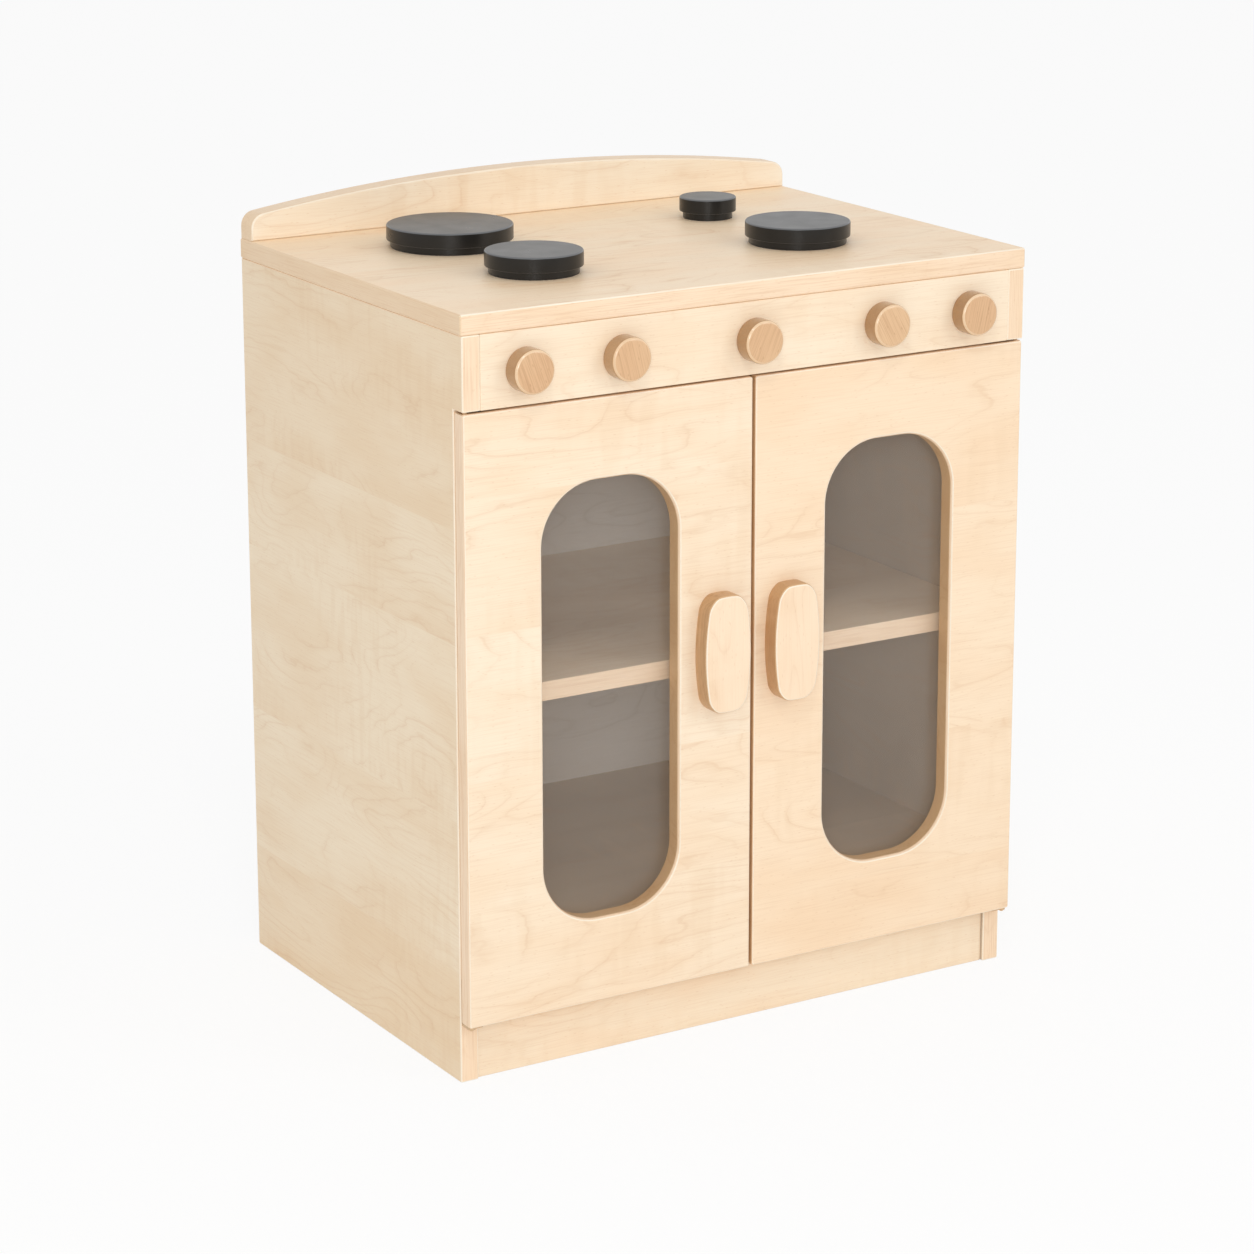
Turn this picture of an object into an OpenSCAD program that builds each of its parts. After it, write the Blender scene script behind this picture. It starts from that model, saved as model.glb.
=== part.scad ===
// Wooden play cooker: a board cabinet with two windowed doors, five turning
// knobs, four black hob plates and an arched upstand behind the worktop.
// All sizes are in millimetres. X is the width, Y runs from the front to the
// back and Z is up; the origin is on the floor under the middle of the cooker.

/* [Cabinet] */
// Width of the worktop
body_w = 600; // [520:5:760]
// Depth of the worktop, front edge to back edge
body_d = 430; // [400:5:520]
// Height of the worktop's upper face
body_h = 707; // [660:1:820]
// Thickness of the cabinet boards
board_t = 18; // [15:1:22]
// Thickness of the worktop board
worktop_t = 19; // [16:1:28]
// How far the worktop stands out past each side panel
top_over = 1; // [0:0.5:4]
// Radius of the softened edges of the boards
edge_r = 2; // [0.5:0.25:3]
// Height of the control panel
panel_h = 67; // [60:1:90]

/* [Inside] */
// Height of the plinth board, which carries the oven floor
plinth_h = 102; // [80:1:125]
// How far the plinth stands back from the side panels' lower edges
plinth_back = 3.5; // [0:0.5:20]
// Height of the shelf's underside
shelf_z = 342; // [300:1:400]
// Gap between the closed doors' back faces and the shelf
shelf_back = 8; // [6:0.5:40]
// Thickness of the back panel
back_t = 9; // [6:1:15]
// How far the back panel is let in from the cabinet's rear
back_in = 22; // [12:1:40]
// Depth of the grooves that hold the back panel
groove_d = 5; // [3:0.5:8]
// Clearance round the back panel in its grooves
groove_clear = 0.3; // [0.1:0.05:0.6]

/* [Upstand] */
// Thickness of the upstand board
upstand_t = 24; // [16:1:30]
// Height of the upstand's arch above the worktop, at its middle
upstand_mid = 47; // [40:1:90]
// Height of the arch above the worktop where it meets the ends
upstand_end = 24; // [20:1:36]
// Radius of the upstand's upper corners
upstand_r = 14; // [6:1:18]

/* [Doors] */
// Thickness of the door boards
door_t = 16; // [15:0.5:20]
// Gap between the two doors
door_gap = 3; // [2:0.5:6]
// Gap between the doors and the control panel
door_top_gap = 2; // [1:0.5:5]
// Height of the doors' lower edges above the floor
door_z = 57; // [45:1:75]
// How far each door stands in from the side panel's outer face
door_in = 0.5; // [0:0.25:2]
// Gap between the closed doors and the side panels' edges
door_back_gap = 0.8; // [0.6:0.1:1.5]
// Width of the window in each door
window_w = 141; // [110:1:160]
// Height of the window in each door
window_h = 408; // [300:1:430]
// Distance from the top of the door to the window
window_top = 74; // [60:1:90]
// Corner radius of the window
window_r = 56; // [30:1:60]
// Thickness of the window pane
pane_t = 3; // [2:0.5:5]
// How far the pane reaches past the window on every side
pane_lap = 12; // [9:0.5:16]

/* [Handles] */
// Thickness of each handle block
handle_t = 18; // [14:1:26]
// Height of each handle block
handle_h = 110; // [80:1:140]
// Width of each handle block at its middle
handle_w = 49; // [40:1:60]
// Width of each handle block at its ends
handle_end_w = 36; // [28:1:39]
// Distance from the middle of the cooker to the middle of each handle
handle_x = 37.5; // [34:0.5:44]
// Height of the middle of each handle above the middle of its door
handle_up = 31.5; // [0:0.5:80]
// Crown of each handle's upper and lower ends
handle_crown = 2; // [0.5:0.5:5]
// Corner radius of each handle block
handle_r = 13; // [4:1:14]

/* [Knobs] */
// Diameter of the knobs
knob_d = 40; // [30:1:46]
// Length of the knobs
knob_l = 18; // [12:1:26]
// Radius of the knobs' front edge
knob_r = 2.5; // [1:0.5:5]
// Distance from each end of the worktop to the middle of the outermost knob
knob_end = 63.5; // [50:0.5:90]
// Distance between the two knobs at each end
knob_pitch = 98; // [60:0.5:110]
// Height of the knobs' centres above the control panel's lower edge
knob_up = 32; // [28:0.5:40]
// Diameter of the bolts on which the knobs turn
spindle_d = 8; // [6:0.5:10]
// Clearance round each bolt in the control panel, on the radius
spindle_clear = 0.08; // [0.05:0.01:0.1]
// Gap between each knob and the control panel
knob_gap = 0.3; // [0.2:0.1:1]
// Depth of the bolt in the knob
spindle_in = 13; // [9:0.5:15]
// Diameter of each bolt's head, behind the control panel
spindle_head_d = 17.6; // [14:0.2:22]
// Thickness of each bolt's head
spindle_head_t = 3; // [2:0.25:5]

/* [Hob] */
// Thickness of the hob plates
hob_t = 14; // [8:1:20]
// Thickness of the smaller discs under the hob plates
hob_base_t = 7; // [4:1:12]
// How far each lower disc stands in from its hob plate
hob_step = 3.5; // [2:0.5:8]
// Radius of the hob plates' upper edge
hob_r = 2; // [1:0.5:4]
// Diameter of the back left hob plate
hob_d1 = 119; // [90:1:140]
// Diameter of the front left hob plate
hob_d2 = 90; // [70:1:110]
// Diameter of the back right hob plate
hob_d3 = 55; // [40:1:80]
// Diameter of the front right hob plate
hob_d4 = 99; // [70:1:120]
// Distance from the worktop's left end to the middles of the left hob plates
hob_left = 151; // [130:1:170]
// Distance from the worktop's right end to the middles of the right hob plates
hob_right = 164; // [130:1:180]
// Distance from the worktop's front edge to the middles of the front hob plates
hob_front = 136; // [90:1:140]
// Distance from the worktop's back edge to the middles of the back hob plates
hob_back = 137; // [125:1:145]

/* [Pivots] */
// Distance of each door's pivot from the door's outer edge
pivot_in = 4.5; // [4:0.1:4.8]
// Distance of each door's pivot from the door's front face
pivot_back = 5.5; // [5:0.1:6]
// Diameter of the pivot pins
pivot_d = 4; // [3:0.25:4.5]
// Clearance round each pivot pin, on the radius
pivot_clear = 0.08; // [0.05:0.01:0.1]
// Thickness of the pivot plates and brackets
plate_t = 2; // [1.5:0.25:2.5]
// Width of the pivot plates
plate_w = 10; // [9:0.5:11]
// Length of the plates in the doors' edges
plate_l = 40; // [32:1:60]
// Height of the upright leaf of each lower bracket
leaf_h = 42; // [34:1:60]
// Gap under each door where it rests on its lower bracket
rest_gap = 0.3; // [0.2:0.05:0.6]
// Clearance round each plate in its seat
seat_clear = 0.1; // [0.05:0.05:0.2]
// How far each pivot pin reaches past the plate that holds it
pin_reach = 1.5; // [1:0.25:3]

/* [Catches] */
// Distance from the middle of the cooker to the middle of each catch
catch_x = 42; // [34:1:80]
// Width of each catch body
catch_w = 44; // [36:1:60]
// Depth of each catch body
catch_d = 14; // [12:1:18]
// How far each catch hangs below the control panel
catch_drop = 16; // [14:1:20]
// How far each catch reaches up behind the control panel
catch_up = 14; // [12:1:18]
// Thickness of the strike plates on the doors
strike_t = 1.5; // [1.4:0.1:2]
// Width of the strike plates
strike_w = 30; // [24:1:40]
// Height of the strike plates
strike_h = 13; // [12:0.5:15]
// Length of the steel pole plates in each catch
pole_l = 20; // [16:0.5:26]
// Depth of the pole plates
pole_d = 8.3; // [7:0.1:9]
// Thickness of the pole plates
pole_t = 1.6; // [1.2:0.1:2]
// Thickness of the magnet between the two pole plates
magnet_t = 5.6; // [4:0.2:6]

/* [Fixings] */
// Diameter of the wooden dowels
dowel_d = 8; // [6:1:10]
// Length of the wooden dowels
dowel_l = 30; // [20:1:32]
// Clearance round a dowel in its hole, on the radius
dowel_clear = 0.05; // [0.03:0.01:0.1]
// Wood left beyond the end of each dowel's hole
dowel_skin = 5; // [3:0.5:7]
// Distance from the ends of the boards to the dowels near them
dowel_end = 60; // [40:1:80]
// Diameter of the shelf's pins
pin_d = 5; // [4:0.5:7]
// Depth of the shelf's pins in the side panels
pin_in = 8; // [6:0.5:11]
// How far the shelf's pins stand out from the side panels
pin_out = 8; // [6:0.5:12]
// Diameter of the wood screws' shanks
screw_d = 4; // [3:0.5:5]
// Distance from the ends of the shelf and oven floor to the nearest back panel screw
back_screw_end = 101; // [60:1:140]
// How deep the back panel's screws go into the shelf and the oven floor
back_screw_in = 16; // [10:1:24]
// Diameter of the small countersunk screws in the plates
sunk_d = 2.8; // [2.4:0.1:3.2]
// Diameter of the countersunk screws' heads
sunk_head_d = 5.4; // [4.8:0.1:6]
// Height of the countersunk heads
sunk_head_t = 1.4; // [1:0.1:1.4]
// Length of the countersunk screws
sunk_l = 14; // [10:1:14]
// Diameter of the screws that hold the catches
catch_screw_d = 3.4; // [3:0.1:3.6]
// How deep the catches' screws go into the control panel
catch_screw_in = 12; // [8:1:13]
// Diameter of the bolts that hold the handles
handle_screw_d = 5; // [4:0.5:6]
// Distance between the two bolts in each handle
handle_screw_pitch = 64; // [48:1:72]
// Diameter of the screws that hold the panes
pane_screw_d = 3; // [2.5:0.25:3.5]

/* [Hidden] */
$fn = 72;
// How far a cutter reaches past the face that it cuts
e = 0.01;

// What stands out in front of the doors decides where the middle of the depth is
proud = max(handle_t, knob_l + knob_gap);
front_y = -(body_d - proud) / 2;
back_y = front_y + body_d;

side_x = body_w / 2 - top_over;
inner_x = side_x - board_t;
mid_x = inner_x + board_t / 2;
side_h = body_h - worktop_t;
panel_z = side_h - panel_h;
knob_z = panel_z + knob_up;
rebate = door_t + door_back_gap;
floor_z = plinth_h + board_t;
step_y = front_y + rebate;

door_x0 = door_gap / 2;
door_x1 = side_x - door_in;
door_w = door_x1 - door_x0;
door_top = panel_z - door_top_gap;
door_h = door_top - door_z;
handle_z = (door_top + door_z) / 2 + handle_up;
door_mid = (door_x0 + door_x1) / 2;
door_back = front_y + door_t;
win_z1 = door_top - window_top;
win_z0 = win_z1 - window_h;
win_mid = (win_z0 + win_z1) / 2;
win_r = min(window_r, window_w / 2 - 8, window_h / 2 - 8);

inside_y = back_y - back_in - back_t;
shelf_y = door_back + shelf_back;
plinth_y = step_y + plinth_back;
pivot_x = door_x1 - pivot_in;
pivot_y = front_y + pivot_back;
// The plates in the doors stop short of the door's outer edge and of its front face
plate_x1 = door_x1 - 0.5;
plate_y0 = front_y + 3;
knob_x = body_w / 2 - knob_end;
knob_xs = [-knob_x, knob_pitch - knob_x, 0, knob_x - knob_pitch, knob_x];
hob_x1 = hob_left - body_w / 2;
hob_x2 = body_w / 2 - hob_right;
hobs = [[hob_x1, back_y - hob_back, hob_d1], [hob_x1, front_y + hob_front, hob_d2],
        [hob_x2, back_y - hob_back, hob_d3], [hob_x2, front_y + hob_front, hob_d4]];

maple = [0.96, 0.87, 0.74];
maple_edge = [0.94, 0.82, 0.68];
beech = [0.84, 0.68, 0.49];
black = [0.16, 0.155, 0.15];
steel = [0.72, 0.72, 0.73];
smoke = [0.55, 0.5, 0.45, 0.45];

// A flat outline given a thickness along Z, its edges rounded by r on one or both faces
module soft_plate(t, r, faces = 2) {
  hull() for (k = [0:3]) {
    a = k * 30;
    translate([0, 0, r * (1 - sin(a))])
      linear_extrude(t - faces * r * (1 - sin(a))) offset(delta = -r * (1 - cos(a))) children();
  }
}

// A board from one corner, sized along X, Y and Z, its large faces square to Z
module soft_board(size, r) {
  soft_plate(size[2], r) square([size[0], size[1]]);
}

// Stands a plate's outline up, X and Z across, thickness towards the back
module upright() { rotate([90, 0, 0]) mirror([0, 0, 1]) children(); }

// The same for a plate whose outline lies in Y and Z, thickness towards +X
module sideways() { rotate([90, 0, 90]) children(); }

// A rectangle with round corners, centred
module round_rect(w, h, r) {
  square([w - 2 * r, h], center = true);
  square([w, h - 2 * r], center = true);
  for (x = [-1, 1], z = [-1, 1]) translate([x * (w / 2 - r), z * (h / 2 - r)]) circle(r);
}

// Round bores along each axis, l long in all and centred on the given point
module bore_z(x, y, z, d, l) { translate([x, y, z]) cylinder(d = d, h = l, center = true); }
module bore_x(x, y, z, d, l) { translate([x, y, z]) rotate([0, 90, 0]) bore_z(0, 0, 0, d, l); }
module bore_y(x, y, z, d, l) { translate([x, y, z]) rotate([90, 0, 0]) bore_z(0, 0, 0, d, l); }

// Dowel places: across the side panels (y, z), and up into the worktop (y)
dowel_yz = [
  [front_y + board_t / 2, panel_z + panel_h * 0.36], [front_y + board_t / 2, panel_z + panel_h * 0.8],
  [plinth_y + board_t / 2, door_z * 0.3], [plinth_y + board_t / 2, door_z * 0.79],
  [step_y + dowel_end, floor_z - board_t / 2], [inside_y - dowel_end, floor_z - board_t / 2]
];
dowel_top_y = [front_y + dowel_end, (front_y + back_y) / 2, back_y - dowel_end];
upstand_dowel_x = [dowel_end - side_x, 0, side_x - dowel_end];
dowel_seat = board_t - dowel_skin;
top_seat = worktop_t - dowel_skin;
dowel_hole = dowel_d + 2 * dowel_clear;
// Gap between a dowel's end and the end of its hole
dowel_gap = 0.5;

// A dowel that stands on z = 0, where its hole ends
module dowel() {
  l = dowel_l - dowel_gap;
  c = dowel_d * 0.12;
  rotate_extrude() polygon([[0, dowel_gap], [dowel_d / 2 - c, dowel_gap], [dowel_d / 2, dowel_gap + c],
    [dowel_d / 2, l - c], [dowel_d / 2 - c, l], [0, l]]);
}

module side_outline() {
  polygon([[step_y, 0], [back_y, 0], [back_y, side_h], [front_y, side_h],
    [front_y, panel_z], [step_y, panel_z]]);
}

module side_panel(s) {
  x0 = s > 0 ? inner_x : -side_x;
  face = s * inner_x;
  difference() {
    translate([x0, 0, 0]) sideways() linear_extrude(board_t) side_outline();
    // groove for the back panel, open at the top
    translate([s > 0 ? inner_x - e : -inner_x - groove_d, inside_y - groove_clear, plinth_h - groove_clear])
      cube([groove_d + e, back_t + 2 * groove_clear, side_h]);
    for (p = dowel_yz) bore_x(face, p[0], p[1], dowel_hole, 2 * dowel_seat);
    for (y = dowel_top_y) bore_z(s * mid_x, y, side_h, dowel_hole, 2 * (dowel_l - top_seat));
    for (y = pin_y) bore_x(face, y, pin_z, pin_d + 2 * dowel_clear, 2 * (pin_in + 1));
    mirror([s > 0 ? 0 : 1, 0, 0]) side_seats();
  }
}

// Seats for the pivot plates: under the step, and in the edge behind the door
module side_seats() {
  leaf_w = leaf_x1 - leaf_x0 + 2 * seat_clear;
  translate([leaf_x0 - seat_clear, plate_y0 - seat_clear, panel_z - 1])
    cube([leaf_w, plate_w + 2 * seat_clear, plate_t + 1]);
  bore_z(pivot_x, pivot_y, panel_z, pivot_d + 0.8, 2 * (plate_t + pin_reach + 1));
  bore_z(upper_screw_x, plate_y0 + plate_w / 2, panel_z, sunk_pilot_d, 2 * (sunk_l + 1));
  translate([leaf_x0 - seat_clear, step_y - 1, leaf_z0])
    cube([leaf_w, plate_t + 1, leaf_h + plate_t + rest_gap + seat_clear]);
  for (z = leaf_screw_z) bore_y((leaf_x0 + leaf_x1) / 2, step_y, z, sunk_pilot_d, 2 * (sunk_l + 1));
}
module left_side_panel() { color(maple) side_panel(-1); }
module right_side_panel() { color(maple) side_panel(1); }

module worktop() {
  color(maple) difference() {
    translate([-body_w / 2, front_y, side_h]) soft_board([body_w, body_d, worktop_t], edge_r);
    for (s = [-1, 1], y = dowel_top_y) bore_z(s * mid_x, y, side_h, dowel_hole, 2 * top_seat);
    for (x = upstand_dowel_x) bore_z(x, back_y - upstand_t / 2, body_h, dowel_hole, 2 * top_seat);
    for (h = hobs) bore_z(h[0], h[1], side_h, screw_hole, 3 * worktop_t);
  }
}

// The upstand's outline: a shallow arc that runs into round upper corners
module upstand_outline() {
  hw = side_x;
  rise = upstand_mid - upstand_end;
  big = (hw * hw + rise * rise) / (2 * rise);
  cz = upstand_mid - big;
  r = upstand_r;
  fx = hw - r;
  fz = cz + sqrt((big - r) * (big - r) - fx * fx);
  n = 32;
  a1 = atan2(fx, fz - cz);
  arc = [for (i = [0:n]) let (a = -a1 + 2 * a1 * i / n) [big * sin(a), cz + big * cos(a)]];
  right = [for (i = [0:6]) let (a = (90 - a1) * (1 - i / 6)) [fx + r * cos(a), fz + r * sin(a)]];
  left = [for (i = [0:6]) let (a = 180 - (90 - a1) * (i / 6)) [-fx + r * cos(a), fz + r * sin(a)]];
  polygon(concat([[-hw, 0]], left, arc, right, [[hw, 0]]));
}
module upstand() {
  color(maple) difference() {
    translate([0, back_y - upstand_t, body_h]) upright() soft_plate(upstand_t, edge_r) upstand_outline();
    for (x = upstand_dowel_x) bore_z(x, back_y - upstand_t / 2, body_h, dowel_hole, 2 * (dowel_l - top_seat));
  }
}

// Dowel holes in both ends of a board between the side panels
module end_bores(places) {
  for (s = [-1, 1], i = places)
    bore_x(s * inner_x, dowel_yz[i][0], dowel_yz[i][1], dowel_hole, 2 * (dowel_l - dowel_seat));
}

module control_panel() {
  color(maple) difference() {
    translate([-inner_x, front_y, panel_z]) upright() soft_plate(board_t, 1) square([2 * inner_x, panel_h]);
    end_bores([0, 1]);
    for (x = knob_xs) bore_y(x, front_y + board_t / 2, knob_z, spindle_d + 2 * spindle_clear, 3 * board_t);
    for (s = [-1, 1], x = catch_holes)
      bore_y(s * x, catch_y, catch_hole_z, catch_screw_d + 2 * dowel_clear, 2 * (catch_screw_in + 1));
  }
}

module oven_floor() {
  color(maple) difference() {
    translate([-inner_x, step_y + 1, plinth_h]) cube([2 * inner_x, inside_y - step_y - 1, board_t]);
    end_bores([4, 5]);
    back_pilots(floor_z - board_t / 2);
  }
}

module plinth() {
  color(maple) difference() {
    translate([-inner_x, plinth_y, 0]) cube([2 * inner_x, board_t, plinth_h]);
    end_bores([2, 3]);
  }
}

// The shelf rests on four pins in the side panels
shelf_side_gap = 0.5;
pin_y = [shelf_y + 40, inside_y - 45];
pin_z = shelf_z - pin_d / 2 - dowel_clear;
module shelf() {
  w = 2 * (inner_x - shelf_side_gap);
  color(maple) difference() {
    translate([-w / 2, shelf_y, shelf_z]) cube([w, inside_y - shelf_y, board_t]);
    back_pilots(shelf_z + board_t / 2);
  }
}
module shelf_pins() {
  r = pin_d / 2;
  c = pin_d * 0.12;
  color(steel) for (s = [-1, 1], y = pin_y) translate([s * inner_x, y, pin_z])
    rotate([0, s * -90, 0]) rotate_extrude() polygon([[0, -pin_in], [r - c, -pin_in],
      [r, c - pin_in], [r, pin_out - c], [r - c, pin_out], [0, pin_out]]);
}

back_hw = inner_x + groove_d - groove_clear;
back_screw_x = [back_screw_end - inner_x, 0, inner_x - back_screw_end];
back_screw_z = [floor_z - board_t / 2, shelf_z + board_t / 2];
module back_panel() {
  color(maple_edge) difference() {
    translate([-back_hw, inside_y, plinth_h]) cube([2 * back_hw, back_t, side_h - plinth_h]);
    for (x = back_screw_x, z = back_screw_z)
      bore_y(x, inside_y + back_t / 2, z, screw_hole, 2 * back_t);
  }
}

// The cross slot of a screw whose head ends at z = 0
module cross_slot(l, w, deep) {
  for (a = [0, 90]) rotate([0, 0, a]) translate([-l / 2, -w / 2, -deep]) cube([l, w, 2 * deep]);
}
// A screw with a round head on z = 0, its shank l long below and narrowed over the tip's length
module screw(d, l, tip) {
  head_r = d * 1.05;
  head_t = d * 0.62;
  difference() {
    rotate_extrude() polygon([[0, -l], [max(d / 2 - 0.6 * tip, 0.18 * d), -l], [d / 2, tip - l], [d / 2, 0],
      [head_r, 0], [head_r, head_t * 0.45], [head_r * 0.72, head_t * 0.9], [0, head_t]]);
    translate([0, 0, head_t]) cross_slot(head_r, head_r * 0.18, head_t * 0.5);
  }
}
screw_hole = screw_d + 0.5;
wood_tip = 5;
blunt_tip = 0.8;

module carcass_dowels() {
  color(beech) {
    for (s = [-1, 1], p = dowel_yz)
      translate([s * (inner_x + dowel_seat), p[0], p[1]]) rotate([0, s * -90, 0]) dowel();
    for (s = [-1, 1], y = dowel_top_y) translate([s * mid_x, y, side_h - (dowel_l - top_seat)]) dowel();
  }
}
module upstand_dowels() {
  color(beech) for (x = upstand_dowel_x) translate([x, back_y - upstand_t / 2, body_h - top_seat]) dowel();
}

// A hob plate is a turned disc on a smaller turned disc, held by a screw from below
hob_hole = screw_d / 2 + dowel_clear;
hob_screw_in = hob_t * 0.6;
module hob_plate(i) {
  r = hobs[i][2] / 2;
  q = [for (k = [0:6]) let (a = k * 15) [r - hob_r + hob_r * cos(a), hob_t - hob_r + hob_r * sin(a)]];
  color(black) translate([hobs[i][0], hobs[i][1], body_h + hob_base_t])
    rotate_extrude() polygon(concat([[hob_hole, 0], [r - 1, 0], [r, 1]], q,
      [[0, hob_t], [0, hob_screw_in + 1], [hob_hole, hob_screw_in + 1]]));
}
module hob_base(i) {
  r = hobs[i][2] / 2 - hob_step;
  color(black) translate([hobs[i][0], hobs[i][1], body_h]) rotate_extrude()
    polygon([[screw_hole / 2, 0], [r, 0], [r, hob_base_t], [screw_hole / 2, hob_base_t]]);
}
module hob_plate_back_left() { hob_plate(0); }
module hob_plate_front_left() { hob_plate(1); }
module hob_plate_back_right() { hob_plate(2); }
module hob_plate_front_right() { hob_plate(3); }
module hob_base_back_left() { hob_base(0); }
module hob_base_front_left() { hob_base(1); }
module hob_base_back_right() { hob_base(2); }
module hob_base_front_right() { hob_base(3); }

module hob_screws() {
  color(steel) for (h = hobs) translate([h[0], h[1], side_h]) mirror([0, 0, 1])
    screw(screw_d, worktop_t + hob_base_t + hob_screw_in, wood_tip);
}
module back_panel_screws() {
  color(steel) for (x = back_screw_x, z = back_screw_z)
    translate([x, inside_y + back_t, z]) rotate([-90, 0, 0]) screw(screw_d, back_t + back_screw_in, wood_tip);
}
// Holes for the back panel's screws in the board behind which it stands
module back_pilots(z) {
  for (x = back_screw_x) bore_y(x, inside_y, z, screw_d + 2 * dowel_clear, 2 * (back_screw_in + 1));
}

// Where the handle and pane screws go, from the middle of the handle and window
handle_screw_z = [-handle_screw_pitch / 2, handle_screw_pitch / 2];
handle_screw_in = handle_t - 6;
pane_mid = (window_w + pane_lap) / 2;
pane_high = (window_h + pane_lap) / 2;
pane_row = 0.79 * (window_h / 2 - win_r);
pane_screw_at = concat([for (s = [-1, 1], z = [-pane_row, 0, pane_row]) [s * pane_mid, z]],
                       [for (s = [-1, 1]) [0, s * pane_high]]);
pane_screw_in = 8;

// How far the window's edge stands out at each depth, from behind the back face to before the front
window_edge = concat([[door_t + 1, 0]],
  [for (k = [0:3]) let (a = k * 30) [edge_r * (1 - sin(a)), edge_r * (1 - cos(a))]],
  [[-0.05, edge_r + 0.19]]);

// The window's cut across its width or height, half of which is given
function cut_outline(half) = concat([for (p = window_edge) [half + p[1], p[0]]],
  [for (i = [len(window_edge) - 1:-1:0]) [-half - window_edge[i][1], window_edge[i][0]]]);

// The window's cut: four turned corners joined by an upright and a level block, all with one edge
module window_cut() {
  cx = window_w / 2 - win_r;
  cz = window_h / 2 - win_r;
  corner = concat([[0, door_t + 1]], [for (p = window_edge) [win_r + p[1], p[0]]], [[0, -0.05]]);
  translate([door_mid, front_y, win_mid]) {
    for (x = [-cx, cx], z = [-cz, cz]) translate([x, 0, z]) rotate([-90, 0, 0])
      rotate_extrude($fn = 96) polygon(corner);
    translate([0, 0, -cz]) linear_extrude(2 * cz) polygon(cut_outline(window_w / 2));
    translate([cx, 0, 0]) rotate([0, -90, 0]) linear_extrude(2 * cx) polygon(cut_outline(window_h / 2));
  }
}

// Everything on a door is drawn for the right-hand door; the left one is its mirror image
module door_panel() {
  difference() {
    translate([door_x0, front_y, door_z]) upright() soft_plate(door_t, edge_r) square([door_w, door_h]);
    window_cut();
    for (z = handle_screw_z)
      bore_y(handle_x, front_y + door_t / 2, handle_z + z, handle_screw_d + 0.4, 2 * door_t);
    for (p = pane_screw_at) pane_bore(p, pane_screw_d + 2 * dowel_clear);
    door_seats();
  }
}
module pane() {
  difference() {
    translate([door_mid, door_back, win_mid]) upright() linear_extrude(pane_t)
      round_rect(window_w + 2 * pane_lap, window_h + 2 * pane_lap, win_r + pane_lap);
    for (p = pane_screw_at) pane_bore(p, pane_screw_d + 0.5);
  }
}
module pane_bore(p, d) { bore_y(door_mid + p[0], door_back, win_mid + p[1], d, 2 * (pane_screw_in + 1)); }
module pane_screws() {
  for (p = pane_screw_at) translate([door_mid + p[0], door_back + pane_t, win_mid + p[1]])
    rotate([-90, 0, 0]) screw(pane_screw_d, pane_t + pane_screw_in, blunt_tip);
}

module handle_outline() {
  hw = handle_w / 2;
  hh = handle_h / 2;
  dw = (handle_w - handle_end_w) / 2;
  rs = (hh * hh + dw * dw) / (2 * dw);
  c = handle_crown;
  ew = handle_end_w / 2;
  rt = (ew * ew + c * c) / (2 * c);
  as = asin((hh - c) / rs);
  at = asin(ew / rt);
  side = [for (i = [-6:6]) let (a = as * i / 6) [hw - rs + rs * cos(a), rs * sin(a)]];
  top = [for (i = [2:-1:-2]) let (a = at * i / 3) [rt * sin(a), hh - rt + rt * cos(a)]];
  offset(r = handle_r, $fn = 32) offset(delta = -handle_r)
    polygon(concat(side, top, [for (p = side) [-p[0], -p[1]]], [for (p = top) [-p[0], -p[1]]]));
}
module handle() {
  difference() {
    translate([handle_x, front_y - handle_t, handle_z]) upright()
      soft_plate(handle_t, edge_r, 1) handle_outline();
    for (z = handle_screw_z)
      bore_y(handle_x, front_y, handle_z + z, handle_screw_d + 2 * dowel_clear, 2 * (handle_screw_in + 1));
  }
}
module handle_screws() {
  for (z = handle_screw_z) translate([handle_x, door_back, handle_z + z])
    rotate([-90, 0, 0]) screw(handle_screw_d, door_t + handle_screw_in, blunt_tip);
}
module left() { mirror([1, 0, 0]) children(); }

// The doors turn on short pins: plates let into their upper and lower edges carry the pins, a
// plate under each side panel's step takes the upper one, and a bracket under each door the lower
leaf_x0 = inner_x + 2;
leaf_x1 = side_x - 1.6;
leaf_z0 = door_z - rest_gap - plate_t;
leaf_screw_z = [door_z + leaf_h * 0.32, door_z + leaf_h * 0.75];
upper_screw_x = leaf_x0 + 3.2;
pivot_screw_x = [door_x1 - plate_l * 0.5, door_x1 - plate_l * 0.8];
sunk_rim = 0.15;
sunk_pilot_d = sunk_d + 2 * dowel_clear;

// A countersunk screw whose head ends at z = 0, its shank below
module sunk_screw() {
  r = sunk_d / 2;
  head_r = sunk_head_d / 2;
  difference() {
    rotate_extrude() polygon([[0, -sunk_l], [r - 0.6, 1 - sunk_l], [r, 3 - sunk_l], [r, -sunk_head_t],
      [head_r, -sunk_rim], [head_r, 0], [0, 0]]);
    cross_slot(sunk_head_d * 0.52, 0.6, 0.9);
  }
}
// The hole in a plate that such a screw sits in
module sunk_hole() {
  r = sunk_d / 2 + seat_clear;
  head_r = sunk_head_d / 2 + seat_clear;
  rotate_extrude() polygon([[0, -6], [r, -6], [r, -sunk_head_t], [head_r, -sunk_rim], [head_r, 1], [0, 1]]);
}

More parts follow.
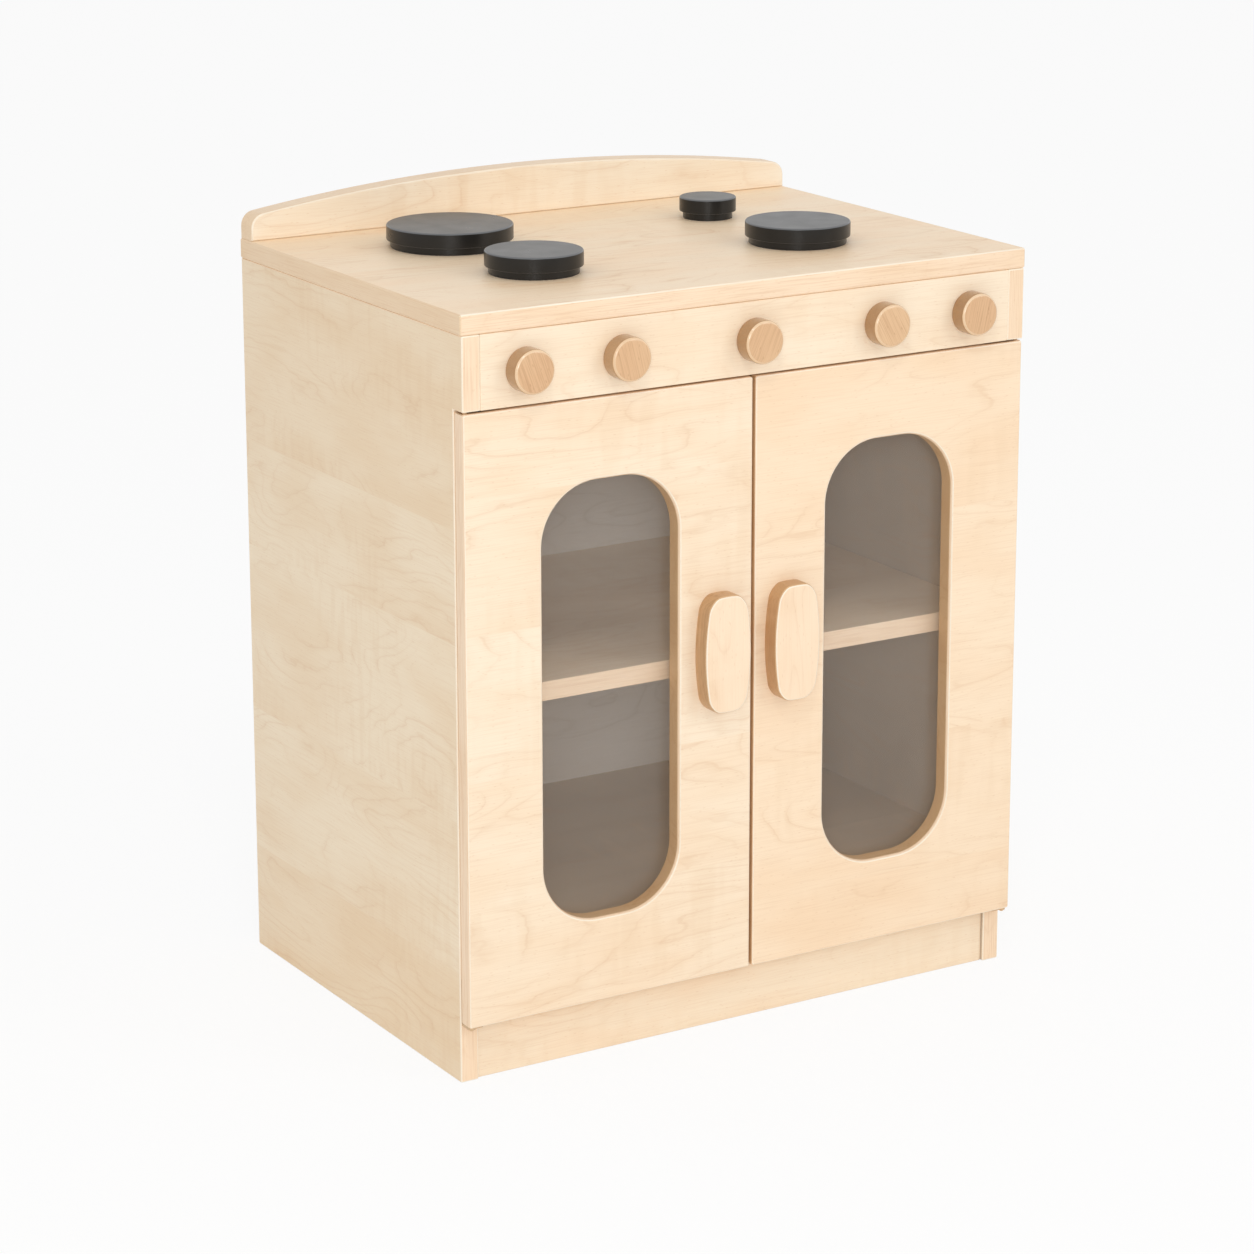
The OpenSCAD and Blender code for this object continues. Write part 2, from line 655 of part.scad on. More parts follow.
// One end of a door: the plate in its edge, z = 0 at the edge and rising into the gap
module door_pivot(l) {
  r = pivot_d / 2;
  difference() {
    union() {
      translate([door_x1 - plate_l, plate_y0, -plate_t])
        cube([plate_x1 - door_x1 + plate_l, plate_w, plate_t]);
      translate([pivot_x, pivot_y, 0]) rotate_extrude()
        polygon([[0, -plate_t], [r, -plate_t], [r, l - 0.5], [r - 0.5, l], [0, l]]);
    }
    for (x = pivot_screw_x) translate([x, plate_y0 + plate_w / 2, 0]) sunk_hole();
  }
}
module pivots() {
  translate([0, 0, door_top]) door_pivot(door_top_gap + plate_t + pin_reach);
  translate([0, 0, door_z]) mirror([0, 0, 1]) door_pivot(rest_gap + plate_t + pin_reach);
}
module door_screws() {
  for (x = pivot_screw_x) {
    translate([x, plate_y0 + plate_w / 2, door_top]) sunk_screw();
    translate([x, plate_y0 + plate_w / 2, door_z]) mirror([0, 0, 1]) sunk_screw();
  }
  translate([catch_x, door_back + strike_t, pole_z]) rotate([-90, 0, 0]) sunk_screw();
}
module upper_plate() {
  difference() {
    translate([leaf_x0, plate_y0, panel_z]) cube([leaf_x1 - leaf_x0, plate_w, plate_t]);
    bore_z(pivot_x, pivot_y, panel_z, pivot_d + 2 * pivot_clear, 3 * plate_t);
    translate([upper_screw_x, plate_y0 + plate_w / 2, panel_z]) mirror([0, 0, 1]) sunk_hole();
  }
}
module lower_bracket() {
  w = leaf_x1 - leaf_x0;
  difference() {
    union() {
      translate([leaf_x0, step_y, leaf_z0]) cube([w, plate_t, leaf_h + plate_t + rest_gap]);
      translate([leaf_x0, pivot_y, leaf_z0]) cube([w, step_y - pivot_y + plate_t, plate_t]);
      translate([pivot_x, pivot_y, leaf_z0]) cylinder(d = 2 * (leaf_x1 - pivot_x), h = plate_t);
      translate([leaf_x0, pivot_y - 1, leaf_z0]) cube([pivot_x - leaf_x0, 2, plate_t]);
    }
    bore_z(pivot_x, pivot_y, leaf_z0, pivot_d + 2 * pivot_clear, 3 * plate_t);
    for (z = leaf_screw_z) translate([(leaf_x0 + leaf_x1) / 2, step_y, z]) rotate([90, 0, 0]) sunk_hole();
  }
}
module upper_pivot_plates() { color(steel) { upper_plate(); left() upper_plate(); } }
module lower_pivot_brackets() { color(steel) { lower_bracket(); left() lower_bracket(); } }
module plate_screws() {
  translate([upper_screw_x, plate_y0 + plate_w / 2, panel_z]) mirror([0, 0, 1]) sunk_screw();
  for (z = leaf_screw_z) translate([(leaf_x0 + leaf_x1) / 2, step_y, z]) rotate([90, 0, 0]) sunk_screw();
}
module pivot_plate_screws() { color(steel) { plate_screws(); left() plate_screws(); } }
module door_seats() {
  for (z = [door_top - plate_t, door_z - 1])
    translate([door_x1 - plate_l - seat_clear, plate_y0 - seat_clear, z])
      cube([plate_x1 - door_x1 + plate_l + 2 * seat_clear, plate_w + 2 * seat_clear, plate_t + 1]);
  for (x = pivot_screw_x, z = [door_top, door_z])
    bore_z(x, plate_y0 + plate_w / 2, z, sunk_pilot_d, 2 * (sunk_l + 1));
  bore_y(catch_x, door_back, pole_z, sunk_pilot_d, 2 * sunk_l);
}

// Magnetic catches hang behind the control panel and meet plates on the doors
catch_y = front_y + board_t;
catch_z = panel_z - catch_drop;
catch_hole_z = panel_z + catch_up / 2;
catch_holes = [for (x = [-1, 1]) catch_x + x * (catch_w / 2 - 7)];
// Depth of the step under the heads of the catches' screws
catch_step = 4;
pole_z = door_top - 8;
pole_apart = magnet_t + pole_t;
// The closed doors' strikes stop this far from the pole plates
strike_gap = 0.2;
pole_y = door_back + strike_t + strike_gap;
// The pole plates stand proud of the catch body by this much
pole_proud = 0.3;
pocket_clear = 0.2;

// A block of the given size, centred on x and z, with its front face at y
module block(x, y, z, size) { translate([x - size[0] / 2, y, z - size[2] / 2]) cube(size); }

// One half of a catch body, from y0 back to the body's rear face
module catch_half(y0, z0, h) {
  d = catch_y + catch_d - y0;
  translate([catch_x, y0 + d / 2, z0]) linear_extrude(h) round_rect(catch_w, d, 3);
}
// The upper half seats on the control panel's back, the lower half starts behind the strike
module catch_body() {
  difference() {
    union() {
      catch_half(catch_y, panel_z - e, catch_up + e);
      catch_half(pole_y + pole_proud, catch_z, catch_drop);
    }
    block(catch_x, pole_y - 1, pole_z,
      [pole_l + 2 * pocket_clear, pole_d + pocket_clear + 1, pole_apart + pole_t + 2 * pocket_clear]);
    for (x = catch_holes) {
      bore_y(x, catch_y, catch_hole_z, catch_screw_d + 0.4, 3 * catch_d);
      bore_y(x, catch_y + catch_d, catch_hole_z, 2.1 * catch_screw_d + 0.6, 2 * catch_step);
    }
  }
}
module catch_magnet() {
  for (s = [-1, 1])
    block(catch_x, pole_y, pole_z + s * pole_apart / 2, [pole_l, pole_d, pole_t]);
  block(catch_x, pole_y + 0.9, pole_z, [pole_l - 2, pole_d - 1.3, magnet_t]);
}
module catch_screw_pair() {
  for (x = catch_holes) translate([x, catch_y + catch_d - catch_step, catch_hole_z])
    rotate([-90, 0, 0]) screw(catch_screw_d, catch_d - catch_step + catch_screw_in, blunt_tip);
}
module catch_bodies() { color("white") { catch_body(); left() catch_body(); } }
module catch_magnets() { color(steel) { catch_magnet(); left() catch_magnet(); } }
module catch_screws() { color(steel) { catch_screw_pair(); left() catch_screw_pair(); } }
module strike() {
  difference() {
    translate([catch_x, door_back, pole_z]) upright()
      linear_extrude(strike_t) round_rect(strike_w, strike_h, 2);
    translate([catch_x, door_back + strike_t, pole_z]) rotate([-90, 0, 0]) sunk_hole();
  }
}

module left_door_panel() { color(maple) left() door_panel(); }
module left_pane() { color(smoke) left() pane(); }
module left_pane_screws() { color(steel) left() pane_screws(); }
module left_handle() { color(maple) left() handle(); }
module left_handle_screws() { color(steel) left() handle_screws(); }
module left_pivots() { color(steel) left() pivots(); }
module left_door_screws() { color(steel) left() door_screws(); }
module left_strike() { color(steel) left() strike(); }
module right_door_panel() { color(maple) door_panel(); }
module right_pane() { color(smoke) pane(); }
module right_pane_screws() { color(steel) pane_screws(); }
module right_handle() { color(maple) handle(); }
module right_handle_screws() { color(steel) handle_screws(); }
module right_pivots() { color(steel) pivots(); }
module right_door_screws() { color(steel) door_screws(); }
module right_strike() { color(steel) strike(); }

// A knob is turned wood, bored from behind for the bolt that it turns on
module knob(i) {
  r = knob_d / 2;
  bore = spindle_d / 2 + dowel_clear;
  q = [for (k = [0:6]) let (a = k * 15) [r - knob_r + knob_r * cos(a), knob_l - knob_r + knob_r * sin(a)]];
  color(beech) translate([knob_xs[i], front_y - knob_gap, knob_z]) rotate([90, 0, 0]) rotate_extrude()
    polygon(concat([[bore, 0], [r - 0.8, 0], [r, 0.8]], q,
      [[0, knob_l], [0, spindle_in], [bore, spindle_in]]));
}
// The bolt: a shank through the control panel and a wide head behind it
module spindle(i) {
  r = spindle_d / 2;
  hr = spindle_head_d / 2;
  z1 = -board_t - 2 * knob_gap;
  z0 = z1 - spindle_head_t;
  color(steel) translate([knob_xs[i], front_y - knob_gap, knob_z]) rotate([90, 0, 0]) difference() {
    rotate_extrude() polygon([[0, z0], [hr - 1, z0], [hr, z0 + 0.8], [hr, z1], [r, z1],
      [r, spindle_in - 1.2], [r - 1, spindle_in - 0.2], [0, spindle_in - 0.2]]);
    translate([0, 0, z0]) cross_slot(0.75 * spindle_d, 1.2, 1.4);
  }
}
module knob_1() { knob(0); }
module knob_2() { knob(1); }
module knob_3() { knob(2); }
module knob_4() { knob(3); }
module knob_5() { knob(4); }
module spindle_1() { spindle(0); }
module spindle_2() { spindle(1); }
module spindle_3() { spindle(2); }
module spindle_4() { spindle(3); }
module spindle_5() { spindle(4); }

left_side_panel();
right_side_panel();
worktop();
upstand();
control_panel();
oven_floor();
shelf();
plinth();
back_panel();
shelf_pins();
carcass_dowels();
upstand_dowels();
back_panel_screws();
hob_screws();
upper_pivot_plates();
lower_pivot_brackets();
pivot_plate_screws();
catch_bodies();
catch_magnets();
catch_screws();
hob_plate_back_left();
hob_plate_front_left();
hob_plate_back_right();
hob_plate_front_right();
hob_base_back_left();
hob_base_front_left();
hob_base_back_right();
hob_base_front_right();
left_door_panel();
left_pane();
left_pane_screws();
left_handle();
left_handle_screws();
left_pivots();
left_door_screws();
left_strike();
right_door_panel();
right_pane();
right_pane_screws();
right_handle();
right_handle_screws();
right_pivots();
right_door_screws();
right_strike();
knob_1();
knob_2();
knob_3();
knob_4();
knob_5();
spindle_1();
spindle_2();
spindle_3();
spindle_4();
spindle_5();
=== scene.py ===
"""Looks of a wooden play cooker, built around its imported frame.

The cooker is a maple cabinet with two windowed doors, five turning knobs, four black hob plates and an
arched upstand behind the worktop. Everything is in metres in the part's own frame: X to the right, Y from
the front to the back, Z up, with the origin on the floor under the middle.
"""

import logging
import math
from dataclasses import dataclass
from enum import Enum
from typing import Callable, Mapping, Sequence, Union

import bmesh
import bpy
from mathutils import Euler, Matrix, Vector


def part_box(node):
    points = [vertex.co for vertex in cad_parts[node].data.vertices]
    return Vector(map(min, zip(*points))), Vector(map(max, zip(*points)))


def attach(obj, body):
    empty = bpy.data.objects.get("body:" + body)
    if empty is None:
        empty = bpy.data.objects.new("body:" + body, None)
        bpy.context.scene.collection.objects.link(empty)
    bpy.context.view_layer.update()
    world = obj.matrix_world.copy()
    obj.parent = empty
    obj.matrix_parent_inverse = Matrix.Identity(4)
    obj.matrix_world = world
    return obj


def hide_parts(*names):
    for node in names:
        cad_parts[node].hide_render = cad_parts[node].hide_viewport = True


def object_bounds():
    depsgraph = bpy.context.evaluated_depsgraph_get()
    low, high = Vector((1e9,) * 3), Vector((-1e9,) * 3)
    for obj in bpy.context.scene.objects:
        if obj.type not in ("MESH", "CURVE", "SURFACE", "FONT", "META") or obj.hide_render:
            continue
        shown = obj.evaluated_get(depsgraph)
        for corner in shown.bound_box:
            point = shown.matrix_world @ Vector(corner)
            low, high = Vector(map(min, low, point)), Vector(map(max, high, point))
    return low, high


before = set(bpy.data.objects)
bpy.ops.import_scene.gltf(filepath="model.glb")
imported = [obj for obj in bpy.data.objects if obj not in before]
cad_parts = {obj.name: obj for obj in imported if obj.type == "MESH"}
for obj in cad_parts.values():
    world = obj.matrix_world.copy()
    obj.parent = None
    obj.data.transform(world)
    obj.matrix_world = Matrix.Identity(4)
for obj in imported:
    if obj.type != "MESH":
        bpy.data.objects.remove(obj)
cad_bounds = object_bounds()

log = logging.getLogger("cooker")

MM = 0.001
NEAR = 0.02 * MM
SMOOTH_BELOW = math.radians(32.0)
WHITE = (1.0, 1.0, 1.0, 1.0)

# How far a face's normal leans along an axis, from 0 for square to it to 1: beyond FACING it faces along the
# axis, below FLAT on every axis it is on a rounding, and beyond the third lean a rounding lies next to the
# front face and takes a painted highlight.
FACING = 0.7
FLAT = 0.975
HIGHLIGHT_LEAN = 0.75

# The pivot plates' thickness, and the play in their seats.
PLATE = 2.0 * MM
SEAT_PLAY = 0.1 * MM

X, Y, Z = range(3)
SIDES = ("left", "right")
HOB_PLACES = ("back_left", "front_left", "back_right", "front_right")
KNOB_COUNT = 5

Tree = bpy.types.NodeTree
Socket = bpy.types.NodeSocket
Piece = bpy.types.Object
Edge = bmesh.types.BMEdge
Pair = tuple[float, float]
Triple = tuple[float, float, float]
Setting = Union[float, int, str, bool, Sequence[float], Socket]
EdgeTest = Callable[[Edge], bool]
FaceTest = Callable[[Vector, Vector], bool]


# Materials

def linear(hex_colour: str) -> tuple[float, float, float, float]:
    """Turns an sRGB hex colour to linear RGBA.

    Args:
        hex_colour: Six hex digits after a hash.

    Returns:
        Linear red, green and blue, with an alpha of 1.
    """
    channels = [int(hex_colour[i:i + 2], 16) / 255 for i in (1, 3, 5)]
    return (*[c / 12.92 if c <= 0.04045 else ((c + 0.055) / 1.055) ** 2.4 for c in channels], 1.0)


def add(tree: Tree, kind: str, inputs: Mapping[Union[int, str], Setting],
        **settings: Union[str, bool, float]) -> bpy.types.Node:
    """Adds one node with its settings and links.

    Args:
        tree: The node tree that takes the node.
        kind: The node's type, without Blender's ShaderNode before it.
        inputs: What goes into each input, by name or number: a value, or another node's output.
        **settings: The node's own attributes.

    Returns:
        The new node.
    """
    node = tree.nodes.new("ShaderNode" + kind)
    for name, value in settings.items():
        setattr(node, name, value)
    for name, value in inputs.items():
        if isinstance(value, Socket):
            tree.links.new(value, node.inputs[name])
        else:
            node.inputs[name].default_value = value
    return node


@dataclass(frozen=True)
class Finish:
    """A named finish, whose surface its own class draws."""

    name: str

    def surface(self, tree: Tree) -> Socket:
        """Draws the surface in a node tree and returns its shader."""
        raise NotImplementedError

    def build(self) -> bpy.types.Material:
        """Builds the finish's material."""
        material = bpy.data.materials.new(self.name)
        material.use_nodes = True
        tree = material.node_tree
        tree.nodes.clear()
        add(tree, "OutputMaterial", {"Surface": self.surface(tree)})
        return material


class Grain(Enum):
    """Which way the fibres run: the board's axes along the fibres, across them and into the board."""

    LEVEL = ("X", "Z", "Y")
    LEVEL_TOP = ("X", "Y", "Z")
    DEEP = ("Y", "Z", "X")
    UPRIGHT = ("Z", "X", "Y")


# Maple and beech, planed, sanded and sprayed with clear satin lacquer: a pale warm ground with growth
# rings drawn in thin tan lines, curl that ripples across them, pinkish blotches, fine fibres and a few
# flecks, under a soft gloss. Lengths are in millimetres. The staves of a board are glued edge to edge at
# the seams, and each has its own figure and tint.
@dataclass(frozen=True)
class LacqueredWood(Finish):
    """Wood under clear satin lacquer.

    A pattern's size is given along and across the fibres, and into the board where that differs. A span
    says where in its cloud the pattern begins to show and where it has its full strength.
    """

    grain: Grain = Grain.LEVEL
    seams: tuple[float, ...] = ()
    seed: float = 0.0
    pale: str = "#FFEDD3"
    flush: str = "#FADFBE"
    ring: str = "#D5A472"
    shade: str = "#E8C79F"
    stave_jump: float = 4000.0
    stave_tint: float = 0.35
    figure: Pair = (300.0, 70.0)
    waver: Pair = (40.0, 14.0)
    waver_share: float = 0.05
    ring_count: float = 13.0
    ring_strength: float = 0.26
    ring_patch: Pair = (170.0, 45.0)
    ring_span: Pair = (0.33, 0.68)
    year: tuple[Pair, ...] = ((0.07, 0.25), (0.3, 0.0), (0.78, 0.08), (0.94, 0.45))
    curl: Pair = (15.0, 85.0)
    curl_depth: float = 60.0
    curl_strength: float = 0.16
    curl_span: Pair = (0.42, 0.68)
    curl_patch: Triple = (190.0, 110.0, 90.0)
    curl_patch_span: Pair = (0.42, 0.65)
    blotch: Pair = (150.0, 55.0)
    blotch_strength: float = 0.5
    blotch_span: Pair = (0.35, 0.7)
    fibre: Pair = (45.0, 0.9)
    fibre_strength: float = 0.14
    fibre_span: Pair = (0.42, 0.75)
    fleck: Pair = (11.0, 3.2)
    fleck_strength: float = 0.22
    fleck_span: Pair = (0.05, 0.2)
    turn: Triple = (0.0, 0.0, 0.0)
    centre: Triple = (0.0, 0.0, 0.0)
    relief: float = 0.1
    relief_strength: float = 0.2
    relief_roughness: float = 0.25
    roughness: float = 0.42
    ior: float = 1.5
    coat: float = 0.25
    coat_roughness: float = 0.28

    def _place(self, tree: Tree) -> tuple[Socket, Socket]:
        """Finds the place in the board, along, across and into it, in millimetres.

        Args:
            tree: The material's node tree.

        Returns:
            The place, moved by each stave's own jump, and the stave's random number.
        """
        coords = add(tree, "TexCoord", {})
        turned = add(tree, "Mapping", {"Vector": coords.outputs["Object"], "Location": self.centre,
                                       "Rotation": self.turn}, vector_type="TEXTURE")
        parts = add(tree, "SeparateXYZ", {0: turned.outputs[0]})
        along, across, into = (parts.outputs[axis] for axis in self.grain.value)
        board = add(tree, "CombineXYZ", {0: along, 1: across, 2: into})
        in_mm = add(tree, "VectorMath", {0: board.outputs[0], "Scale": 1 / MM}, operation="SCALE")
        stave = add(tree, "Math", {0: self.seed, 1: 0.5}, operation="ADD")
        for seam in self.seams:
            past = add(tree, "Math", {0: across, 1: seam * MM}, operation="GREATER_THAN")
            stave = add(tree, "Math", {0: stave.outputs[0], 1: past.outputs[0]}, operation="ADD")
        chance = add(tree, "TexWhiteNoise", {"W": stave.outputs[0]}, noise_dimensions="1D")
        jump = add(tree, "VectorMath", {0: chance.outputs["Color"], "Scale": self.stave_jump},
                   operation="SCALE")
        place = add(tree, "VectorMath", {0: in_mm.outputs[0], 1: jump.outputs[0]}, operation="ADD")
        return place.outputs[0], chance.outputs["Value"]

    @staticmethod
    def _cloud(tree: Tree, place: Socket, size: Sequence[float], detail: float,
               distortion: float = 0.0) -> Socket:
        """Draws a cloudy pattern whose patches have the given size along, across and into the board."""
        along, across, into = (*size, size[-1])[:3]
        sized = add(tree, "VectorMath", {0: place, 1: (1 / along, 1 / across, 1 / into)},
                    operation="MULTIPLY")
        cloud = add(tree, "TexNoise", {"Vector": sized.outputs[0], "Scale": 1.0, "Detail": detail,
                                       "Distortion": distortion})
        return cloud.outputs["Fac"]

    def _patches(self, tree: Tree, place: Socket, size: Sequence[float], span: Pair,
                 strength: Union[float, Socket], detail: float, distortion: float = 0.0) -> Socket:
        """Draws the dense parts of a cloud, which rise from 0 to the strength across the span."""
        cloud = self._cloud(tree, place, size, detail, distortion)
        shown = add(tree, "MapRange", {"Value": cloud, "From Min": span[0], "From Max": span[1],
                                       "To Min": 0.0, "To Max": strength},
                    interpolation_type="SMOOTHSTEP")
        return shown.outputs[0]

    def _rings(self, tree: Tree, place: Socket) -> Socket:
        """Draws growth rings as the contour lines of a long soft cloud; they fade in and out."""
        swell = self._cloud(tree, place, self.figure, detail=1.2, distortion=0.35)
        waver = self._cloud(tree, place, self.waver, detail=2.0)
        level = add(tree, "Math", {0: waver, 1: self.waver_share, 2: swell}, operation="MULTIPLY_ADD")
        counted = add(tree, "Math", {0: level.outputs[0], 1: self.ring_count}, operation="MULTIPLY")
        phase = add(tree, "Math", {0: counted.outputs[0]}, operation="FRACT")
        year = add(tree, "ValToRGB", {0: phase.outputs[0]})
        curve = year.color_ramp
        curve.interpolation = "EASE"
        for part_of_year, darkness in self.year:
            curve.elements.new(part_of_year).color = (darkness, darkness, darkness, 1.0)
        curve.elements[0].color = curve.elements[-1].color = WHITE
        strength = self._patches(tree, place, self.ring_patch, self.ring_span, self.ring_strength,
                                 detail=1.0)
        drawn = add(tree, "Math", {0: year.outputs["Color"], 1: strength}, operation="MULTIPLY")
        return drawn.outputs[0]

    def _curl(self, tree: Tree, place: Socket) -> Socket:
        """Draws the soft ripples that cross the grain in patches."""
        strength = self._patches(tree, place, self.curl_patch, self.curl_patch_span, self.curl_strength,
                                 detail=0.0)
        return self._patches(tree, place, (*self.curl, self.curl_depth), self.curl_span, strength,
                             detail=1.5, distortion=0.3)

    def _flecks(self, tree: Tree, place: Socket) -> Socket:
        """Draws short dark pores along the grain."""
        length, width = self.fleck
        sized = add(tree, "VectorMath", {0: place, 1: (1 / length, 1 / width, 1 / width)},
                    operation="MULTIPLY")
        cells = add(tree, "TexVoronoi", {"Vector": sized.outputs[0], "Scale": 1.0})
        inner, outer = self.fleck_span
        spot = add(tree, "MapRange", {"Value": cells.outputs["Distance"], "From Min": inner,
                                      "From Max": outer, "To Min": self.fleck_strength, "To Max": 0.0},
                   interpolation_type="SMOOTHSTEP")
        return spot.outputs[0]

    def surface(self, tree: Tree) -> Socket:
        """Draws the wood."""
        place, chance = self._place(tree)
        blush = self._patches(tree, place, self.blotch, self.blotch_span, self.blotch_strength, detail=2.0)
        tint = add(tree, "Math", {0: chance, 1: self.stave_tint, 2: blush}, operation="MULTIPLY_ADD",
                   use_clamp=True)
        fibres = self._patches(tree, place, self.fibre, self.fibre_span, self.fibre_strength, detail=2.0)
        rings = self._rings(tree, place)
        colour = add(tree, "Mix", {0: tint.outputs[0], 6: linear(self.pale), 7: linear(self.flush)},
                     data_type="RGBA")
        for share, stain in ((self._curl(tree, place), self.shade), (rings, self.ring),
                             (fibres, self.ring), (self._flecks(tree, place), self.ring)):
            colour = add(tree, "Mix", {0: share, 6: colour.outputs[2], 7: linear(stain)}, data_type="RGBA")
        relief = add(tree, "Math", {0: rings, 1: fibres}, operation="ADD")
        rough = add(tree, "Math", {0: relief.outputs[0], 1: self.relief_roughness, 2: self.roughness},
                    operation="MULTIPLY_ADD")
        bump = add(tree, "Bump", {"Height": relief.outputs[0], "Strength": self.relief_strength,
                                  "Distance": self.relief * MM}, invert=True)
        shader = add(tree, "BsdfPrincipled",
                     {"Base Color": colour.outputs[2], "Roughness": rough.outputs[0], "IOR": self.ior,
                      "Coat Weight": self.coat, "Coat Roughness": self.coat_roughness,
                      "Normal": bump.outputs[0]})
        return shader.outputs[0]


@dataclass(frozen=True)
class Skin(Finish):
    """A finish between two tints, whose colour and roughness follow soft patterns."""

    colour: str
    tint: str
    roughness: float
    swing: float

    def _shade(self, tree: Tree, clouds: Socket, matt: Socket, inputs: Mapping[str, Setting]) -> Socket:
        """Mixes the tints by one pattern and the roughness by another, and returns the shader."""
        colour = add(tree, "Mix", {0: clouds, 6: linear(self.colour), 7: linear(self.tint)},
                     data_type="RGBA")
        rough = add(tree, "Math", {0: matt, 1: self.swing, 2: self.roughness}, operation="MULTIPLY_ADD")
        shader = add(tree, "BsdfPrincipled",
                     {"Base Color": colour.outputs[2], "Roughness": rough.outputs[0], **inputs})
        return shader.outputs[0]


# Acrylic paint on turned wood, satin: near black, with soft highlights that clouds in the paint, the
# lathe's rings and the brush's grit break up a little. Their sizes are in millimetres; a ring's are its
# length and its width.
@dataclass(frozen=True)
class SatinPaint(Skin):
    """Satin black paint on turned wood."""

    name: str = "satin_black_paint"
    colour: str = "#121211"
    tint: str = "#1C1B1A"
    roughness: float = 0.24
    swing: float = 0.12
    cloud: float = 22.2
    lathe_ring: Pair = (83.3, 2.4)
    grit: float = 1.2
    grit_share: float = 0.25

    def surface(self, tree: Tree) -> Socket:
        """Draws the paint."""
        place = add(tree, "TexCoord", {}).outputs["Object"]
        cloud = add(tree, "TexNoise", {"Vector": place, "Scale": 1 / (self.cloud * MM), "Detail": 3.0})
        coarse, fine = (1 / (size * MM) for size in self.lathe_ring)
        turned = add(tree, "VectorMath", {0: place, 1: (coarse, coarse, fine)}, operation="MULTIPLY")
        marks = add(tree, "TexNoise", {"Vector": turned.outputs[0], "Scale": 1.0})
        grit = add(tree, "TexNoise", {"Vector": place, "Scale": 1 / (self.grit * MM)})
        height = add(tree, "Math", {0: grit.outputs["Fac"], 1: self.grit_share, 2: marks.outputs["Fac"]},
                     operation="MULTIPLY_ADD")
        bump = add(tree, "Bump", {"Height": height.outputs[0], "Strength": 0.2, "Distance": 0.08 * MM})
        return self._shade(tree, cloud.outputs["Fac"], cloud.outputs["Fac"],
                           {"IOR": 1.43, "Normal": bump.outputs[0]})


# Cast acrylic sheet with a smoke tint and a hard clear coat: a grey veil over what lies behind it, with
# the clear reflections of a polished face and a breath of dust. The sizes of the clouds in the smoke and
# of the dust are in millimetres. The coat's IOR is higher than acrylic's own, so that the panes reflect as
# strongly as in the photograph.
@dataclass(frozen=True)
class SmokedAcrylic(Skin):
    """Smoke-tinted acrylic sheet."""

    name: str = "smoked_acrylic"
    colour: str = "#CBBFB2"
    tint: str = "#D7CCBF"
    roughness: float = 0.05
    swing: float = 0.04
    alpha: float = 0.1
    coat_roughness: float = 0.03
    cloud: float = 166.7
    dust: float = 9.0

    def surface(self, tree: Tree) -> Socket:
        """Draws the sheet."""
        place = add(tree, "TexCoord", {}).outputs["Object"]
        cloud = add(tree, "TexNoise", {"Vector": place, "Scale": 1 / (self.cloud * MM), "Detail": 1.0})
        dust = add(tree, "TexNoise", {"Vector": place, "Scale": 1 / (self.dust * MM)})
        return self._shade(tree, cloud.outputs["Fac"], dust.outputs["Fac"],
                           {"IOR": 1.49, "Alpha": self.alpha, "Coat Weight": 1.0,
                            "Coat Roughness": self.coat_roughness, "Coat IOR": 1.93})


# Pressed or turned steel with a plated or bare face: pale grey, with a soft gloss that faint rolling
# lines and a dull bloom vary. Their sizes are in millimetres; a line's are its length and its width.
@dataclass(frozen=True)
class RolledSteel(Skin):
    """Pressed or turned steel."""

    name: str = "zinc_plated_steel"
    colour: str = "#C9CACC"
    tint: str = "#A9AAAB"
    roughness: float = 0.28
    swing: float = 0.14
    bloom: float = 11.1
    line: Pair = (16.7, 0.8)

    def surface(self, tree: Tree) -> Socket:
        """Draws the metal."""
        place = add(tree, "TexCoord", {}).outputs["Object"]
        bloom = add(tree, "TexNoise", {"Vector": place, "Scale": 1 / (self.bloom * MM), "Detail": 3.0})
        coarse, fine = (1 / (size * MM) for size in self.line)
        rolled = add(tree, "VectorMath", {0: place, 1: (coarse, coarse, fine)}, operation="MULTIPLY")
        lines = add(tree, "TexNoise", {"Vector": rolled.outputs[0], "Scale": 1.0, "Detail": 1.0})
        return self._shade(tree, bloom.outputs["Fac"], lines.outputs["Fac"], {"Metallic": 1.0})


# A skin with a fine even grain, in millimetres, that its own colour, gloss and relief follow.
@dataclass(frozen=True)
class GrainedSkin(Skin):
    """A powder coat or moulded plastic."""

    grain: float
    ior: float

    def surface(self, tree: Tree) -> Socket:
        """Draws the skin."""
        place = add(tree, "TexCoord", {}).outputs["Object"]
        grain = add(tree, "TexNoise", {"Vector": place, "Scale": 1 / (self.grain * MM)}).outputs["Fac"]
        bump = add(tree, "Bump", {"Height": grain, "Strength": 0.2, "Distance": 0.05 * MM})
        return self._shade(tree, grain, grain, {"IOR": self.ior, "Normal": bump.outputs[0]})


@dataclass(frozen=True)
class WhiteFloor(Finish):
    """Matt white that also glows towards the camera, so that only a faint shadow shows on it."""

    glow: float = 0.85

    def surface(self, tree: Tree) -> Socket:
        """Draws the floor."""
        path = add(tree, "LightPath", {})
        matt = add(tree, "BsdfDiffuse", {"Color": WHITE})
        white = add(tree, "Emission", {"Color": WHITE, "Strength": 1.0})
        share = add(tree, "Math", {0: path.outputs["Is Camera Ray"], 1: self.glow}, operation="MULTIPLY")
        mixed = add(tree, "MixShader", {0: share.outputs[0], 1: matt.outputs[0], 2: white.outputs[0]})
        return mixed.outputs[0]


# Pressed steel with a baked powder coat in the wood's own tone: an even satin skin with the fine ripple
# of orange peel, so the plates hardly show in the doors' gaps.
POWDER_COAT = GrainedSkin("powder_coated_steel", "#DDBE97", "#D3B28A", 0.35, 0.1, 1.4, 1.5)

